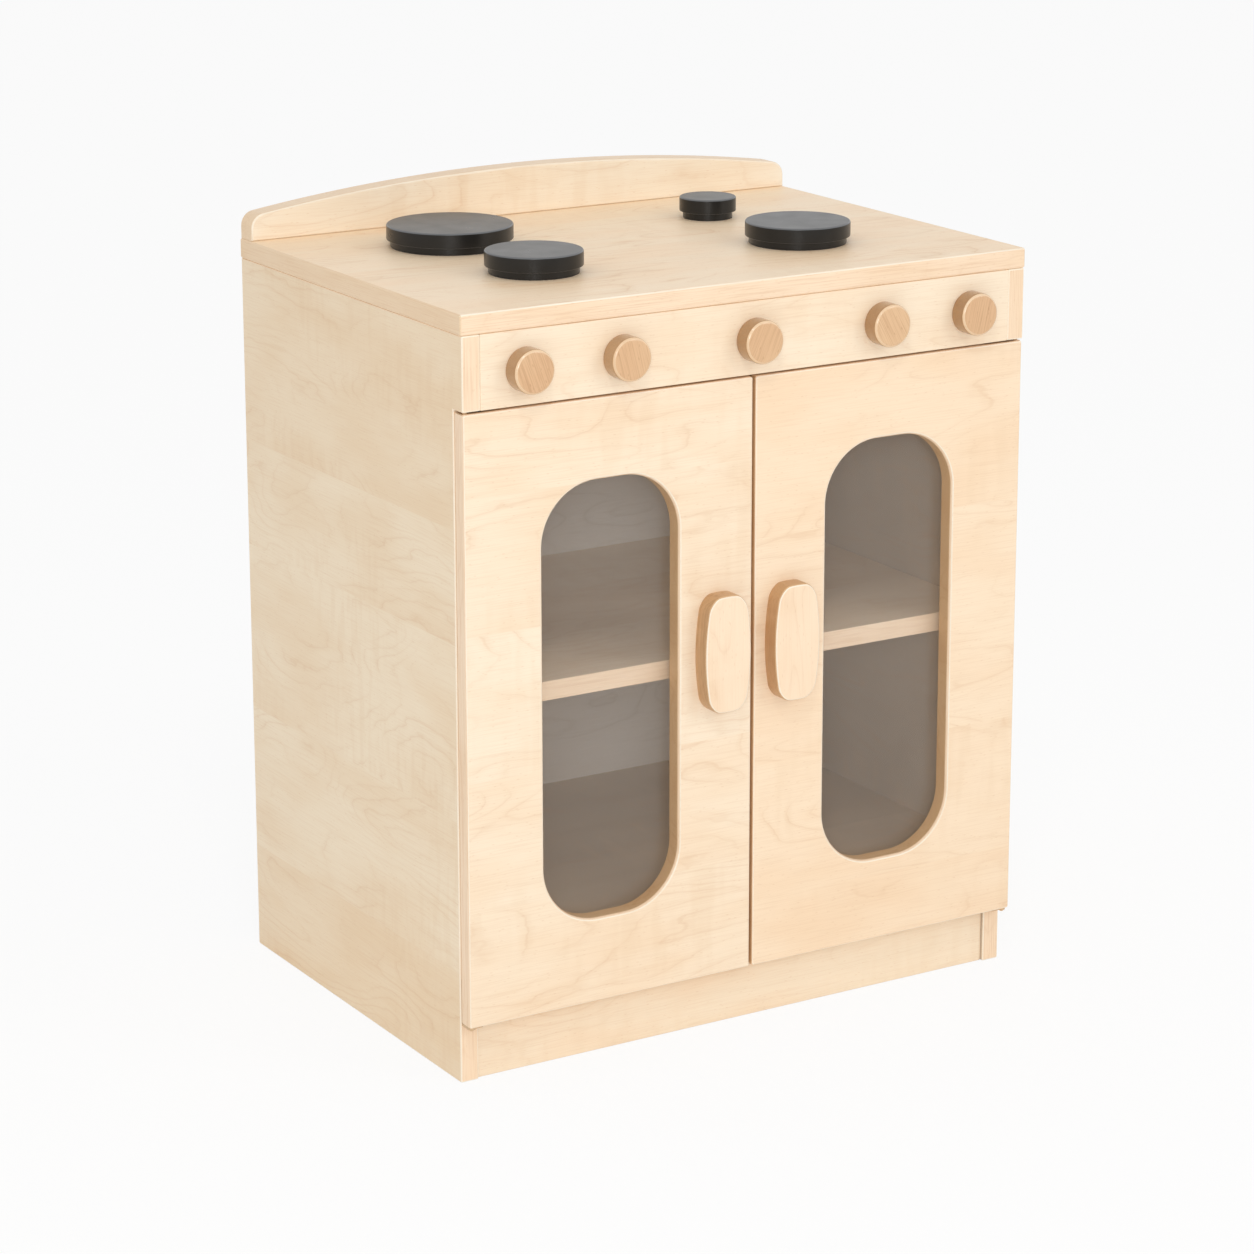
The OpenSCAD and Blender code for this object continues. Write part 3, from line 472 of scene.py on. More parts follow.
# Injection moulded nylon: off-white, with the fine matt grain of its spark-eroded mould.
NYLON = GrainedSkin("moulded_nylon", "#E9E8E4", "#DEDCD6", 0.4, 0.15, 0.5, 1.53)

# Plated steel for the screws and strikes, and the bare, darker steel of the magnets' pole plates.
PLATED_STEEL = RolledSteel()
POLE_STEEL = RolledSteel("bare_pole_steel", "#8E8F90", "#707172")

# Black paint on the hobs, and a greyer paint on the roundings of their edges as a painted highlight.
BLACK_PAINT = SatinPaint()
HIGHLIGHT_PAINT = SatinPaint("black_paint_painted_highlight", "#5E6063", "#6E7073")

# Maple on the roundings along the front faces: paler, with hardly any figure, as a painted highlight along
# the arris.
ARRIS_HIGHLIGHT = LacqueredWood("maple_arris_painted_highlight", seed=47.0, pale="#FFF4E0", flush="#FFECD2", ring_strength=0.1,
                      curl_strength=0.05, fleck_strength=0.1, coat=0.1)

# Maple where a board is cut through, as in a window: darker, partly because the cut fibres drink the lacquer
# and partly as painted shade in the window's reveal. It is also painted shade on the doors' meeting edges,
# in the gap between them, and a dark painted contour on the outer half of the handles' roundings.
CUT_EDGE_SHADE = LacqueredWood("maple_cut_edge_painted_shade", seed=44.0, pale="#E2BE92", flush="#D8AF82", ring="#BD8A58",
                         ring_strength=0.25, curl_strength=0.1, fibre_strength=0.4)


def edge_band(grain: Grain) -> LacqueredWood:
    """Returns the edge banding of the boards: pinker, with fine straight fibres."""
    return LacqueredWood(f"maple_edge_band_{grain.name.lower()}", grain, seed=41.0, pale="#FFE6C9",
                         flush="#F8DAB7", ring_strength=0.2, curl_strength=0.08, fibre_strength=0.32)


def end_band(grain: Grain) -> LacqueredWood:
    """Returns the honey-toned band on the worktop's ends and the upstand's edge."""
    return LacqueredWood(f"maple_end_band_{grain.name.lower()}", grain, seed=43.0, pale="#F5DAB7",
                         flush="#EDCBA2", ring_strength=0.2, curl_strength=0.08, fibre_strength=0.25)


# Modelling by hand

def only(obj: Piece) -> None:
    """Selects one object and makes it active."""
    bpy.ops.object.select_all(action="DESELECT")
    obj.select_set(True)
    bpy.context.view_layer.objects.active = obj


def settle(obj: Piece) -> None:
    """Moves an object's place, turn and scale into its mesh."""
    only(obj)
    bpy.ops.object.transform_apply(location=True, rotation=True, scale=True)


def fresh(name: str) -> Piece:
    """Names the object that was just added, and returns it."""
    obj = bpy.context.object
    obj.name = obj.data.name = name
    return obj


def block(name: str, low: Vector, high: Vector) -> Piece:
    """Adds a block between two corners.

    Args:
        name: The object's name.
        low: Its lowest corner.
        high: Its highest corner.

    Returns:
        The block, with its place in its mesh.
    """
    bpy.ops.mesh.primitive_cube_add(size=1.0, location=(low + high) / 2)
    obj = fresh(name)
    obj.scale = high - low
    settle(obj)
    return obj


def disc(name: str, centre: Vector, radius: float, length: float, steps: int) -> Piece:
    """Adds an upright disc with its place in its mesh.

    Args:
        name: The object's name.
        centre: The middle of the disc.
        radius: Its radius.
        length: Its length along Z.
        steps: The number of faces round it.

    Returns:
        The disc.
    """
    bpy.ops.mesh.primitive_cylinder_add(vertices=steps, radius=radius, depth=length, location=centre)
    obj = fresh(name)
    settle(obj)
    return obj


def select_edges(obj: Piece, test: EdgeTest) -> None:
    """Enters edit mode with only the edges selected that pass the test."""
    only(obj)
    bpy.ops.object.mode_set(mode="EDIT")
    bpy.ops.mesh.select_mode(type="EDGE")
    bpy.ops.mesh.select_all(action="DESELECT")
    shape = bmesh.from_edit_mesh(obj.data)
    for edge in shape.edges:
        edge.select_set(test(edge))
    bmesh.update_edit_mesh(obj.data)


def edit_all(obj: Piece) -> None:
    """Enters edit mode with the whole mesh selected."""
    only(obj)
    bpy.ops.object.mode_set(mode="EDIT")
    bpy.ops.mesh.select_all(action="SELECT")


def round_edges(obj: Piece, radius: float, steps: int, test: EdgeTest = lambda edge: True) -> None:
    """Rounds the edges that pass the test.

    Args:
        obj: The piece.
        radius: The rounding's radius.
        steps: The number of faces in the rounding.
        test: Which edges to round, all of them by default.
    """
    select_edges(obj, test)
    bpy.ops.mesh.bevel(offset=radius, offset_type="OFFSET", segments=steps, profile=0.5, affect="EDGES",
                       clamp_overlap=False)
    bpy.ops.object.mode_set(mode="OBJECT")


def carve(obj: Piece, cutter: Piece) -> None:
    """Takes the cutter's shape out of a piece and deletes the cutter."""
    only(obj)
    cut = obj.modifiers.new("cut", "BOOLEAN")
    cut.operation = "DIFFERENCE"
    cut.solver = "EXACT"
    cut.object = cutter
    bpy.ops.object.modifier_apply(modifier=cut.name)
    bpy.data.meshes.remove(cutter.data)


def copy_piece(obj: Piece, name: str, mirrored: bool = False,
               shift: Sequence[float] = (0.0, 0.0, 0.0)) -> Piece:
    """Copies a piece, with its own mesh.

    Args:
        obj: The piece to copy.
        name: The copy's name.
        mirrored: Whether the copy is the mirror image across the cooker's middle.
        shift: How far the copy is moved.

    Returns:
        The copy, with its place in its mesh.
    """
    only(obj)
    bpy.ops.object.duplicate()
    copy = fresh(name)
    copy.location = shift
    copy.scale.x = -1.0 if mirrored else 1.0
    settle(copy)
    edit_all(copy)
    bpy.ops.mesh.normals_make_consistent(inside=False)
    bpy.ops.object.mode_set(mode="OBJECT")
    return copy


def merged_copy(node: str, name: str) -> Piece:
    """Copies a node of the frame and merges its loose triangles.

    Args:
        node: The node to copy.
        name: The copy's name.

    Returns:
        The copy, with its flat faces whole again.
    """
    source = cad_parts[node]
    copy = bpy.data.objects.new(name, source.data.copy())
    copy.data.name = name
    bpy.context.scene.collection.objects.link(copy)
    edit_all(copy)
    bpy.ops.mesh.remove_doubles(threshold=0.001 * MM)
    bpy.ops.mesh.dissolve_limited(angle_limit=math.radians(0.5))
    bpy.ops.object.mode_set(mode="OBJECT")
    return copy


def lies(edge: Edge, axis: int, value: float) -> bool:
    """Tells whether both ends of an edge have the same given coordinate."""
    return all(abs(v.co[axis] - value) < NEAR for v in edge.verts)


def runs(edge: Edge, axis: int) -> bool:
    """Tells whether an edge runs along an axis."""
    along = (edge.verts[0].co - edge.verts[1].co).normalized()
    return abs(along[axis]) > 0.999


def smooth(obj: Piece) -> None:
    """Shades a piece smooth where its faces meet at a small angle, and keeps its flat faces flat."""
    only(obj)
    bpy.ops.object.shade_smooth_by_angle(angle=SMOOTH_BELOW)
    even = obj.modifiers.new("even_normals", "WEIGHTED_NORMAL")
    even.mode = "FACE_AREA"
    even.weight = 50
    even.keep_sharp = True
    bpy.ops.object.modifier_apply(modifier=even.name)


def install(obj: Piece, body: str, slot: str, *nodes: str) -> None:
    """Shades a finished piece and fits it in the frame.

    Args:
        obj: The piece.
        body: The body that it moves with.
        slot: The name of a material slot in the record; not used.
        *nodes: The nodes that it stands for.
    """
    smooth(obj)
    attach(obj, body)
    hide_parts(*nodes)
    log.info("%s rides on %s", obj.name, body)


def middle_of(node: str) -> Vector:
    """Returns the middle of a node's box."""
    low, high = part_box(node)
    return (low + high) / 2


def softened(normal: Vector) -> bool:
    """Tells whether a face belongs to the rounding between two flat faces of a board."""
    return max(abs(value) for value in normal) < FLAT


def on_highlight_band(normal: Vector, centre: Vector) -> bool:
    """Tells whether a face belongs to the part of a rounding next to the front face, where a highlight is
    painted.
    """
    return HIGHLIGHT_LEAN < abs(normal.y) < FLAT


def facing(axis: int) -> FaceTest:
    """Makes the test for faces that face along an axis, either way."""
    return lambda normal, centre: abs(normal[axis]) > FACING


class Palette:
    """Every material of the cooker, each built at its first use."""

    def __init__(self) -> None:
        """Starts with no material built."""
        self.built: dict[str, bpy.types.Material] = {}

    def get(self, finish: Finish) -> bpy.types.Material:
        """Returns a finish's material."""
        if finish.name not in self.built:
            self.built[finish.name] = finish.build()
        return self.built[finish.name]

    def paint(self, obj: Piece, main: Finish, *others: tuple[Finish, FaceTest]) -> None:
        """Gives a piece its finish, and other finishes to the faces that pass a test.

        Args:
            obj: The piece.
            main: The finish of the faces that pass no test.
            *others: Each other finish with its test; a later one goes over an earlier one.
        """
        obj.data.materials.clear()
        obj.data.materials.append(self.get(main))
        for number, (finish, test) in enumerate(others, start=1):
            obj.data.materials.append(self.get(finish))
            for face in obj.data.polygons:
                if test(face.normal, face.center):
                    face.material_index = number

    def dress(self, finish: Finish, *nodes: str) -> None:
        """Gives nodes of the frame their finish."""
        for node in nodes:
            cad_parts[node].material_slots[0].material = self.get(finish)
            log.info("%s is dressed in %s", node, finish.name)


@dataclass
class Cabinet:
    """The boards of the cabinet and what is fixed to them."""

    palette: Palette
    edge: float = 1.2 * MM
    top_edge: float = 2.0 * MM
    fine_edge: float = 0.7 * MM
    step_back: float = 16.8 * MM
    groove_play: float = 0.3 * MM
    leaf_in: float = 2.0 * MM
    side_seams: tuple[float, ...] = (104.0, 246.0, 409.0, 513.0)
    top_seams: tuple[float, ...] = (-95.0, 12.0, 130.0)
    arris_highlight_lean: float = 0.2
    end_lean: float = 0.35
    upstand_lean: float = 0.6

    def side_panels(self) -> None:
        """Builds both side panels: step, back panel's groove and the pivot plates' seats."""
        low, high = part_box("right_side_panel")
        panel_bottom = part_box("control_panel")[0].z
        panel = block("right_side_board", low, high)
        step_corner = Vector((high.x + MM, low.y + self.step_back, panel_bottom))
        carve(panel, block("step", low - Vector((MM, MM, MM)), step_corner))
        round_edges(panel, self.edge, steps=3)
        play = Vector((self.groove_play,) * 3)
        back_low, back_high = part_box("back_panel")
        carve(panel, block("groove", back_low - play, back_high + play + Vector((0, 0, MM))))
        self._carve_seats(panel, low.x + self.leaf_in)
        other = copy_piece(panel, "left_side_board", mirrored=True)
        # The side panels' inner faces are darker and greyer than the maple: painted shade inside the closed
        # cabinet.
        inner = LacqueredWood("maple_inner_face_painted_shade", Grain.DEEP, self.side_seams, 57.0, pale="#CFC0AE",
                              flush="#C4B4A0", coat=0.1)
        for side, board, seed in (("left", other, 11.0), ("right", panel, 17.0)):
            veneer = LacqueredWood(f"maple_veneer_{side}_side", Grain.DEEP, self.side_seams, seed,
                                   pale="#FBE9CC", flush="#F2D7B2", ring_count=24.0,
                                   ring_strength=0.25, curl_strength=0.18, curl=(9.0, 60.0),
                                   figure=(330.0, 125.0), stave_tint=0.45)
            # The front roundings take a painted highlight, and the inner faces painted shade.
            self.palette.paint(board, veneer, (edge_band(Grain.UPRIGHT), facing(Y)),
                               (edge_band(Grain.DEEP), facing(Z)),
                               (inner, lambda n, c: n.x * c.x < -FACING * abs(c.x)),
                               (ARRIS_HIGHLIGHT, lambda n, c: softened(n) and n.y < -self.arris_highlight_lean))
            install(board, "cabinet", "side_wood", f"{side}_side_panel")

    def _carve_seats(self, panel: Piece, leaf_x: float) -> None:
        """Carves the seats of the lower bracket and the upper plate into the right side panel.

        Args:
            panel: The right side panel.
            leaf_x: Where the plates begin, from the cooker's middle.
        """
        play = Vector((SEAT_PLAY,) * 3)
        low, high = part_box("lower_pivot_brackets")
        low = Vector((leaf_x, high.y - PLATE, low.z))
        carve(panel, block("bracket_seat", low - play - Vector((0, MM, 0)), high + play))
        low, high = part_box("upper_pivot_plates")
        low.x = leaf_x
        carve(panel, block("plate_seat", low - play - Vector((0, 0, MM)), high + play))

    def worktop(self) -> None:
        """Builds the worktop with its softened edges."""
        board = block("worktop_board", *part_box("worktop"))
        round_edges(board, self.top_edge, steps=4)
        veneer = LacqueredWood("maple_worktop", Grain.LEVEL_TOP, self.top_seams, 23.0, pale="#FFE9CA",
                               flush="#FDD9B0", ring_strength=0.34, figure=(260.0, 60.0),
                               curl_strength=0.12, fleck_strength=0.4, stave_tint=0.25,
                               blotch_strength=0.35, roughness=0.45, coat=0.12, coat_roughness=0.35)
        # The rounding along the front top edge takes a painted highlight.
        self.palette.paint(board, veneer, (edge_band(Grain.LEVEL), facing(Y)),
                           (end_band(Grain.DEEP), lambda n, c: abs(n.x) > self.end_lean),
                           (ARRIS_HIGHLIGHT, lambda n, c: softened(n) and min(n.z, -n.y) > self.arris_highlight_lean))
        install(board, "cabinet", "cabinet_wood", "worktop")

    def straight_board(self, node: str, finish: Finish, banded: FaceTest = facing(Z),
                       slot: str = "cabinet_wood") -> None:
        """Builds a straight board in place of a node.

        Args:
            node: The node that the board stands for.
            finish: What its faces get.
            banded: Which of its faces have edge banding.
            slot: The record's material slot.
        """
        board = block(f"{node.removesuffix('_panel')}_board", *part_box(node))
        round_edges(board, self.fine_edge, steps=3)
        self.palette.paint(board, finish, (edge_band(Grain.LEVEL), banded))
        install(board, "cabinet", slot, node)

    def straight_boards(self) -> None:
        """Builds the control panel, the plinth and the boards inside."""
        self.straight_board("control_panel", LacqueredWood(
            "maple_control_panel", seed=5.0, pale="#FFEFD6", flush="#FBE2C2", ring_strength=0.18,
            curl_strength=0.08))
        self.straight_board("plinth", LacqueredWood(
            "maple_plinth", seed=7.0, pale="#FDEDD3", flush="#F9DDBC", ring_strength=0.2,
            curl_strength=0.1))
        # The oven floor is darker and greyer than the shelf: painted shade low in the closed compartment.
        self.straight_board("oven_floor", LacqueredWood(
            "maple_floor_board_painted_shade", Grain.LEVEL_TOP, (-70.0, 60.0), 51.0, pale="#C6B299", flush="#BBA488",
            coat=0.1), lambda n, c: n.y < -FACING)
        self.straight_board("shelf", LacqueredWood(
            "maple_shelf", Grain.LEVEL_TOP, (-60.0, 75.0), 52.0, pale="#FAE8CF", flush="#EFD5B4"),
            lambda n, c: n.y < -FACING)
        self.straight_board("back_panel", LacqueredWood(
            "pale_plywood_back", Grain.LEVEL, (230.0, 360.0, 500.0), 61.0, pale="#FFFCF8",
            flush="#F6F1EA", ring="#CFC4B4", shade="#EAE2D8", coat=0.0, roughness=0.5),
            slot="back_board")

    def upstand(self) -> None:
        """Builds the upstand from the frame's own arched shape."""
        board = merged_copy("upstand", "upstand_board")
        veneer = LacqueredWood("maple_upstand", seed=31.0, pale="#FFF2DC", flush="#FBE6C9")
        # The rounding along the front face takes a painted highlight.
        self.palette.paint(board, veneer,
                           (end_band(Grain.LEVEL), lambda n, c: abs(n.y) < self.upstand_lean),
                           (ARRIS_HIGHLIGHT, lambda n, c: -FLAT < n.y <= -self.upstand_lean))
        install(board, "cabinet", "cabinet_wood", "upstand")

    def fittings(self) -> None:
        """Dresses the dowels, pins, screws, pivot plates and catches."""
        dowel = LacqueredWood("beech_dowel", pale="#E3C198", flush="#D6AC80", coat=0.0, roughness=0.6)
        self.palette.dress(dowel, "carcass_dowels", "upstand_dowels")
        self.palette.dress(PLATED_STEEL, "shelf_pins", "back_panel_screws", "hob_screws",
                           "pivot_plate_screws", "catch_screws")
        self.palette.dress(POWDER_COAT, "upper_pivot_plates", "lower_pivot_brackets")
        self.palette.dress(NYLON, "catch_bodies")
        self.palette.dress(POLE_STEEL, "catch_magnets")

    def build(self) -> None:
        """Builds every board and dresses the fittings."""
        self.side_panels()
        self.worktop()
        self.upstand()
        self.straight_boards()
        self.fittings()


@dataclass
class Hob:
    """The four black hob plates, each a wide disc on a smaller one."""

    palette: Palette
    rim: float = 1.6 * MM
    fine_rim: float = 0.6 * MM
    steps: int = 128
    wall_lean: float = 0.3
    top_lean: float = 0.96

    def _turn(self, node: str, name: str, rim: float) -> None:
        """Turns one disc in place of a node, its upper edge rounded by rim."""
        low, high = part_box(node)
        piece = disc(name, middle_of(node), (high.x - low.x) / 2, high.z - low.z, self.steps)
        round_edges(piece, rim, 5, lambda edge: lies(edge, Z, high.z))
        round_edges(piece, self.fine_rim, 3, lambda edge: lies(edge, Z, low.z))
        # The roundings of the upper and lower edges take the greyer paint: a painted highlight.
        self.palette.paint(piece, BLACK_PAINT,
                           (HIGHLIGHT_PAINT, lambda n, c: self.wall_lean < abs(n.z) < self.top_lean))
        install(piece, "cabinet", "hob_black", node)

    def build(self) -> None:
        """Builds every plate and the disc under it."""
        for place in HOB_PLACES:
            self._turn(f"hob_plate_{place}", f"hob_disc_{place}", self.rim)
            self._turn(f"hob_base_{place}", f"hob_foot_{place}", self.fine_rim)


@dataclass
class Doors:
    """Both doors: boards with their windows, panes, handles and fittings."""

    palette: Palette
    edge: float = 2.0 * MM
    frame_width: float = 8.0 * MM
    window_width: float = 141.0 * MM
    window_height: float = 408.0 * MM
    window_drop: float = 74.0 * MM
    window_corner: float = 56.0 * MM
    window_edge: float = 3.6 * MM
    pane_play: float = 0.1 * MM
    handle_end: float = 36.0 * MM
    handle_crown: float = 2.0 * MM
    handle_corner: float = 13.0 * MM
    handle_edge: float = 2.4 * MM
    wall_lean: float = 0.2
    handle_wall_lean: float = 0.3

    def _inside(self, place: Vector) -> bool:
        """Tells whether a place lies in from the right door's outer edges."""
        low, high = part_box("right_door_panel")
        rim = self.frame_width
        return low.x + rim < abs(place.x) < high.x - rim and low.z + rim < place.z < high.z - rim

    def _right_board(self) -> Piece:
        """Builds the right door's board: window, round edges and the pivot plates' seats."""
        low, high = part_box("right_door_panel")
        board = block("right_door_board", low, high)
        round_edges(board, self.edge, steps=4)
        middle = (low.x + high.x) / 2
        top = high.z - self.window_drop
        half = self.window_width / 2
        window = block("window", Vector((middle - half, low.y - MM, top - self.window_height)),
                       Vector((middle + half, high.y + MM, top)))
        round_edges(window, self.window_corner, 24, lambda edge: runs(edge, Y))
        carve(board, window)
        round_edges(board, self.window_edge, 5,
                    lambda edge: lies(edge, Y, low.y) and all(self._inside(v.co) for v in edge.verts))
        pins_low, pins_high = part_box("right_pivots")
        play = Vector((SEAT_PLAY,) * 3)
        for bottom, top in ((low.z - MM, low.z + PLATE), (high.z - PLATE, high.z + MM)):
            carve(board, block("seat", Vector((pins_low.x, pins_low.y, bottom)) - play,
                               Vector((pins_high.x, pins_high.y, top)) + play))
        return board

    def boards(self) -> None:
        """Builds, veneers and fits both boards."""
        right = self._right_board()
        left = copy_piece(right, "left_door_board", mirrored=True)
        for side, board, veneer in (
                ("left", left, LacqueredWood(
                    "maple_left_door", seed=101.0, seams=(165.0, 286.0, 420.0, 544.0))),
                ("right", right, LacqueredWood(
                    "maple_right_door", seed=131.0, seams=(121.0, 252.0, 468.0), pale="#FFE8CA",
                    flush="#FADBB7"))):
            # The window's reveals and the doors' meeting edges take painted shade; the roundings next to the
            # front faces take a painted highlight.
            self.palette.paint(
                board, veneer, (edge_band(Grain.UPRIGHT), facing(X)), (edge_band(Grain.LEVEL), facing(Z)),
                (CUT_EDGE_SHADE, lambda n, c: abs(n.y) < self.wall_lean and self._inside(c)),
                (CUT_EDGE_SHADE, lambda n, c: abs(n.x) > FACING and abs(c.x) < self.edge),
                (edge_band(Grain.UPRIGHT), lambda n, c: self.wall_lean < abs(n.y) <= HIGHLIGHT_LEAN),
                (ARRIS_HIGHLIGHT, on_highlight_band))
            install(board, f"{side}_door", "door_wood", f"{side}_door_panel")

    def _right_handle(self) -> Piece:
        """Builds the right handle: a block with round corners that swells to its middle."""
        low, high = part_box("right_handle")
        piece = block("right_handle_block", low, high)
        round_edges(piece, self.handle_corner, 10, lambda edge: runs(edge, Y))
        swell = (high.x - low.x - self.handle_end) / 2
        self._bow(piece, X, Z, self.handle_crown, cuts=5)
        self._bow(piece, Z, X, swell, cuts=14)
        round_edges(piece, self.handle_edge, 6,
                    lambda edge: (lies(edge, Y, low.y)
                                  and min(abs(f.normal.y) for f in edge.link_faces) < 0.5))
        return piece

    @staticmethod
    def _bow(piece: Piece, along: int, across: int, bow: float, cuts: int) -> None:
        """Bows two opposite sides of a piece, so that it is widest at its middle.

        Args:
            piece: The piece.
            along: The axis that the sides run along.
            across: The axis along which they bow.
            bow: How far each side draws in at its ends.
            cuts: How many points each side's long edges get.
        """
        low, high = (Vector(piece.bound_box[corner]) for corner in (0, 6))
        middle, reach = (low + high) / 2, (high - low) / 2
        radius = (reach[along] ** 2 + bow ** 2) / (2 * bow)
        select_edges(piece, lambda edge: runs(edge, along))
        bpy.ops.mesh.subdivide(number_cuts=cuts)
        bpy.ops.mesh.select_mode(type="VERT")
        shape = bmesh.from_edit_mesh(piece.data)
        done = -math.inf
        for row in sorted(vertex.co[along] for vertex in shape.verts):
            if row - done < NEAR:
                continue
            done = row
            for vertex in shape.verts:
                vertex.select_set(abs(vertex.co[along] - row) < NEAR)
            share = Vector((1.0, 1.0, 1.0))
            drawn_in = radius - math.sqrt(radius ** 2 - (row - middle[along]) ** 2)
            share[across] = 1 - drawn_in / reach[across]
            bpy.ops.transform.resize(value=share, center_override=middle)
        bpy.ops.object.mode_set(mode="OBJECT")

    def handles(self) -> None:
        """Builds, finishes and fits both handles."""
        face = LacqueredWood("maple_handle", Grain.UPRIGHT, seed=71.0, pale="#FFE6C8", flush="#F8D8B4",
                             ring_strength=0.2, curl_strength=0.12, fibre_strength=0.1)
        # The handles' sides: a darker tone with strong stripes of their own grain, darkened further as
        # painted shade between handle and door.
        edge = LacqueredWood("maple_handle_edge_and_painted_shade", Grain.UPRIGHT, seed=72.0, pale="#D5AC7E",
                             flush="#C09161", ring="#9C6B3D", ring_count=5.0, ring_strength=0.45,
                             figure=(420.0, 14.0), fibre_strength=0.3, curl_strength=0.1)
        right = self._right_handle()
        left = copy_piece(right, "left_handle_block", mirrored=True)
        for side, piece in (("left", left), ("right", right)):
            # The outer half of each rounding takes a dark painted contour, and the inner half a painted
            # highlight.
            self.palette.paint(
                piece, face, (edge, lambda n, c: abs(n.y) < self.handle_wall_lean),
                (CUT_EDGE_SHADE, lambda n, c: self.handle_wall_lean <= abs(n.y) <= HIGHLIGHT_LEAN),
                (ARRIS_HIGHLIGHT, on_highlight_band))
            install(piece, f"{side}_door", "handle_wood", f"{side}_handle")

    def panes(self) -> None:
        """Fits both panes, a hair's breadth behind their boards, so that no two faces share a plane."""
        for side in SIDES:
            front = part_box(f"{side}_pane")[0].y
            sheet = merged_copy(f"{side}_pane", f"{side}_acrylic_sheet")
            select_edges(sheet, lambda edge: lies(edge, Y, front))
            bpy.ops.transform.translate(value=(0.0, self.pane_play, 0.0))
            bpy.ops.object.mode_set(mode="OBJECT")
            self.palette.paint(sheet, SmokedAcrylic())
            install(sheet, f"{side}_door", "window_pane", f"{side}_pane")

    def build(self) -> None:
        """Builds the doors' pieces and dresses their fittings."""
        self.boards()
        self.handles()
        self.panes()
        for side in SIDES:
            self.palette.dress(POWDER_COAT, f"{side}_pivots")
            self.palette.dress(PLATED_STEEL, f"{side}_pane_screws", f"{side}_handle_screws",
                               f"{side}_door_screws", f"{side}_strike")


@dataclass
class Knobs:
    """The five turned beech knobs and the bolts they turn on."""

    palette: Palette
    rim: float = 3.6 * MM
    back_rim: float = 0.8 * MM
    steps: int = 96
    leans: tuple[float, ...] = (-20.0, -14.0, 24.0, -28.0, 12.0)
    wall_lean: float = 0.45
    face_lean: float = 0.93

    def _first(self) -> Piece:
        """Turns the first knob."""
        low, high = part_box("knob_1")
        knob = disc("turned_knob_1", Vector(), (high.x - low.x) / 2, high.y - low.y, self.steps)
        top = (high.y - low.y) / 2
        round_edges(knob, self.rim, 7, lambda edge: lies(edge, Z, top))
        round_edges(knob, self.back_rim, 2, lambda edge: lies(edge, Z, -top))
        knob.rotation_euler.x = math.pi / 2
        knob.location = middle_of("knob_1")
        settle(knob)
        return knob

    def _beech(self, number: int) -> LacqueredWood:
        """Returns beech whose fibres cross the knob's face at the knob's own slant."""
        lean = math.radians(self.leans[number - 1])
        return LacqueredWood(
            f"lacquered_beech_knob_{number}", Grain.UPRIGHT, seed=80.0 + number, pale="#E5BD90",
            flush="#DAAB7D", ring="#B07A4A", ring_strength=0.36, ring_count=14.0, figure=(420.0, 20.0),
            curl_strength=0.08, fibre_strength=0.4, fleck_strength=0.5, turn=(0.0, lean, 0.0),
            centre=tuple(middle_of(f"knob_{number}")), roughness=0.35, coat=0.8, coat_roughness=0.14)

    def build(self) -> None:
        """Builds the knobs and dresses their bolts."""
        first = self._first()
        # The knobs' sides are darker than their faces: painted shade.
        side = LacqueredWood("lacquered_beech_knob_side_painted_shade", seed=90.0, pale="#B48A5B", flush="#A97E50",
                             ring="#94633A", fibre_strength=0.3, roughness=0.35, coat=0.8,
                             coat_roughness=0.14)
        # A paler ring on the rounding round each knob's face: a painted highlight.
        rim = LacqueredWood("beech_rim_painted_highlight", seed=91.0, pale="#F2D3AB", flush="#E8C195",
                            ring="#C08A58", ring_strength=0.1, roughness=0.3, coat=1.0,
                            coat_roughness=0.12)
        start = middle_of("knob_1")
        others = [copy_piece(first, f"turned_knob_{number}", shift=middle_of(f"knob_{number}") - start)
                  for number in range(2, KNOB_COUNT + 1)]
        for number, knob in enumerate([first, *others], start=1):
            self.palette.paint(knob, self._beech(number), (side, lambda n, c: abs(n.y) < self.wall_lean),
                               (rim, lambda n, c: -self.face_lean < n.y <= -self.wall_lean))
            install(knob, f"knob_{number}_turning", "knob_wood", f"knob_{number}")
            self.palette.dress(PLATED_STEEL, f"spindle_{number}")


@dataclass(frozen=True)
class SoftLamp:
    """A square soft lamp that faces the cooker."""

    name: str
    place: Triple
    power: float
    size: float

    def hang(self) -> None:
        """Hangs the lamp, aimed at the cooker's middle."""
        data = bpy.data.lights.new(self.name, "AREA")
        data.shape = "SQUARE"
        data.size = self.size
        data.energy = self.power
        obj = bpy.data.objects.new(self.name, data)
        bpy.context.scene.collection.objects.link(obj)
        low, high = cad_bounds
        obj.location = self.place
        obj.rotation_euler = (Vector(self.place) - (low + high) / 2).to_track_quat("Z", "Y").to_euler()


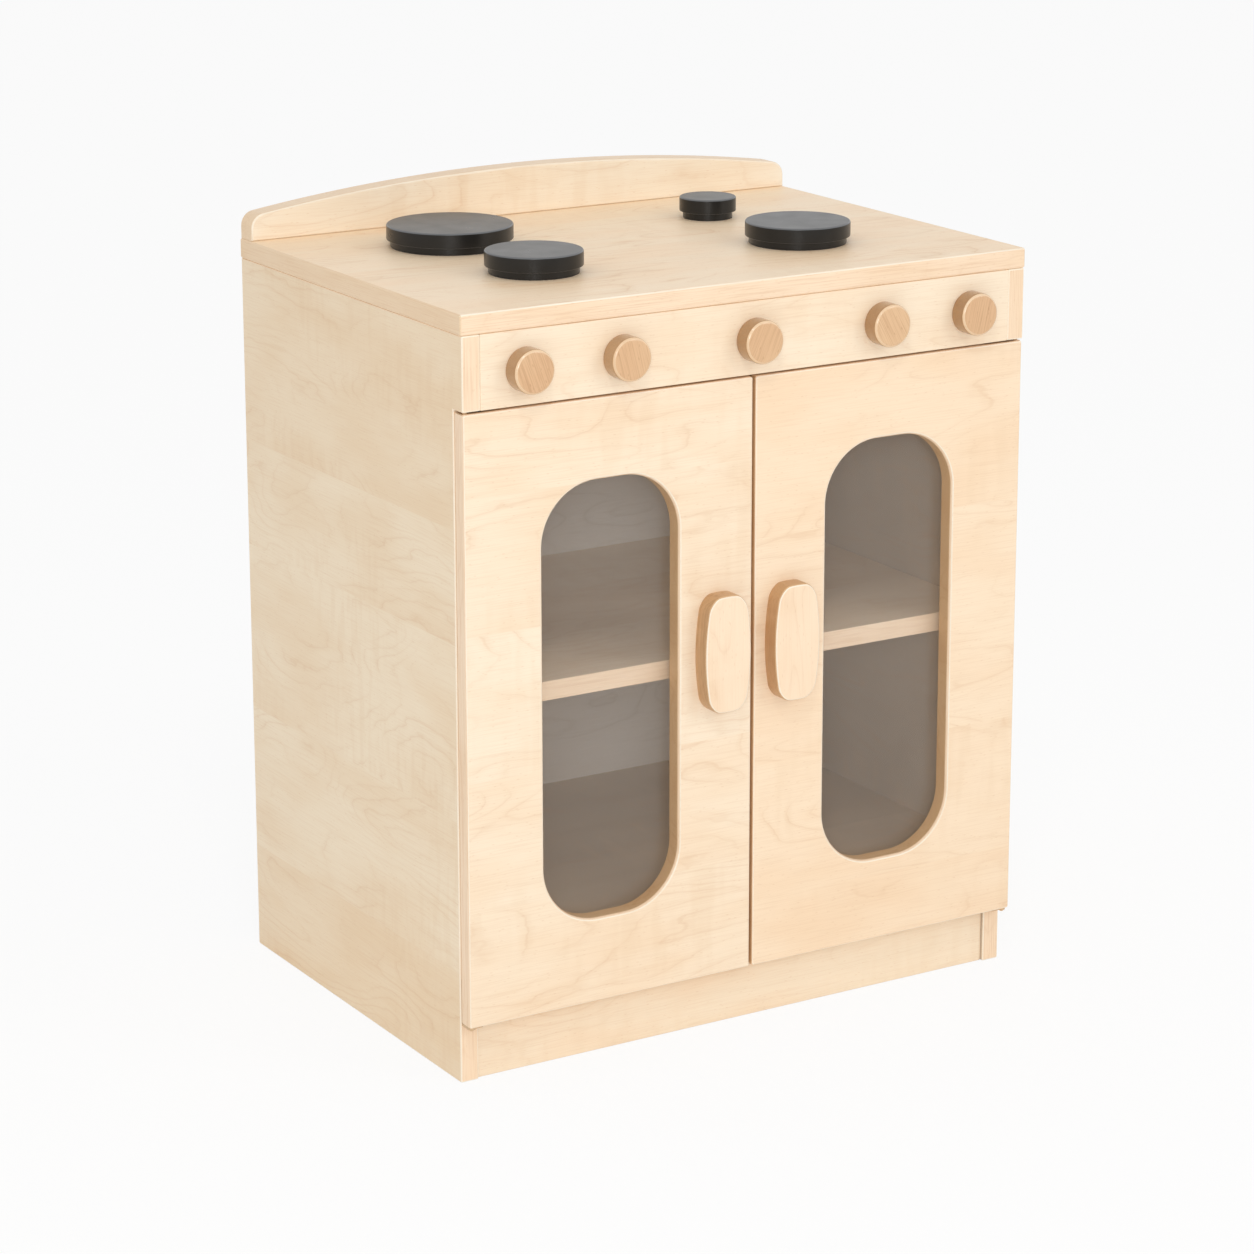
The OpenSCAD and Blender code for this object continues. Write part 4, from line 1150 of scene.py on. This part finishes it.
@dataclass
class Studio:
    """The pale floor, the soft light and the camera."""

    camera_place: Triple = (-1.8381, -3.0098, 1.3554)
    camera_pitch: float = 75.954
    camera_yaw: float = -31.288
    camera_roll: float = -0.075
    sensor: float = 36.0
    lens: float = 109.908
    image_px: float = 1254.0
    axis_above_centre_px: float = 140.0
    sky: float = 0.69
    lamps: tuple[SoftLamp, ...] = (SoftLamp("key_lamp", (2.2, -3.2, 2.35), 19.5, 1.6),
                                   SoftLamp("fill_lamp", (-1.8, -3.0, 1.4), 20.0, 0.7),
                                   SoftLamp("rim_lamp", (-0.9, -1.6, 2.5), 6.0, 0.3))
    floor_size: float = 40.0
    floor_drop: float = 0.2 * MM

    def camera(self) -> None:
        """Places the camera at the photograph's view."""
        data = bpy.data.cameras.new("camera")
        data.sensor_width = self.sensor
        data.lens = self.lens
        data.shift_y = -self.axis_above_centre_px / self.image_px
        data.clip_end = 50.0
        obj = bpy.data.objects.new("camera", data)
        bpy.context.scene.collection.objects.link(obj)
        aim = Euler((math.radians(self.camera_pitch), 0.0, math.radians(self.camera_yaw))).to_matrix()
        obj.rotation_euler = (aim @ Matrix.Rotation(math.radians(self.camera_roll), 3, "Z")).to_euler()
        obj.location = self.camera_place
        bpy.context.scene.camera = obj

    def sky_light(self) -> None:
        """Sets an even sky that the camera, gloss and glass see as white."""
        world = bpy.data.worlds.new("sky")
        world.use_nodes = True
        tree = world.node_tree
        tree.nodes.clear()
        path = add(tree, "LightPath", {})
        seen = add(tree, "Math", {0: path.outputs["Is Camera Ray"], 1: path.outputs["Is Glossy Ray"]},
                   operation="MAXIMUM")
        seen = add(tree, "Math", {0: seen.outputs[0], 1: path.outputs["Is Transmission Ray"]},
                   operation="MAXIMUM")
        dim = add(tree, "Background", {"Color": WHITE, "Strength": self.sky})
        white = add(tree, "Background", {"Color": WHITE, "Strength": 1.0})
        mixed = add(tree, "MixShader", {0: seen.outputs[0], 1: dim.outputs[0], 2: white.outputs[0]})
        add(tree, "OutputWorld", {"Surface": mixed.outputs[0]})
        bpy.context.scene.world = world

    def floor(self) -> None:
        """Lays the floor, a hair's breadth under the cooker."""
        bpy.ops.mesh.primitive_plane_add(size=self.floor_size, location=(0, 0, -self.floor_drop))
        obj = fresh("floor")
        settle(obj)
        obj.data.materials.append(WhiteFloor("matt_white_floor").build())

    def build(self) -> None:
        """Builds the studio."""
        bpy.context.scene.view_settings.view_transform = "Standard"
        self.camera()
        self.sky_light()
        self.floor()
        for lamp in self.lamps:
            lamp.hang()


def write_sizes() -> None:
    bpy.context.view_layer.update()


def main() -> None:
    """Builds the cooker and the studio in order."""
    logging.basicConfig(level=logging.INFO)
    palette = Palette()
    for section in (Studio(), Cabinet(palette), Hob(palette), Doors(palette), Knobs(palette)):
        section.build()
    write_sizes()


if __name__ == "__main__":
    main()
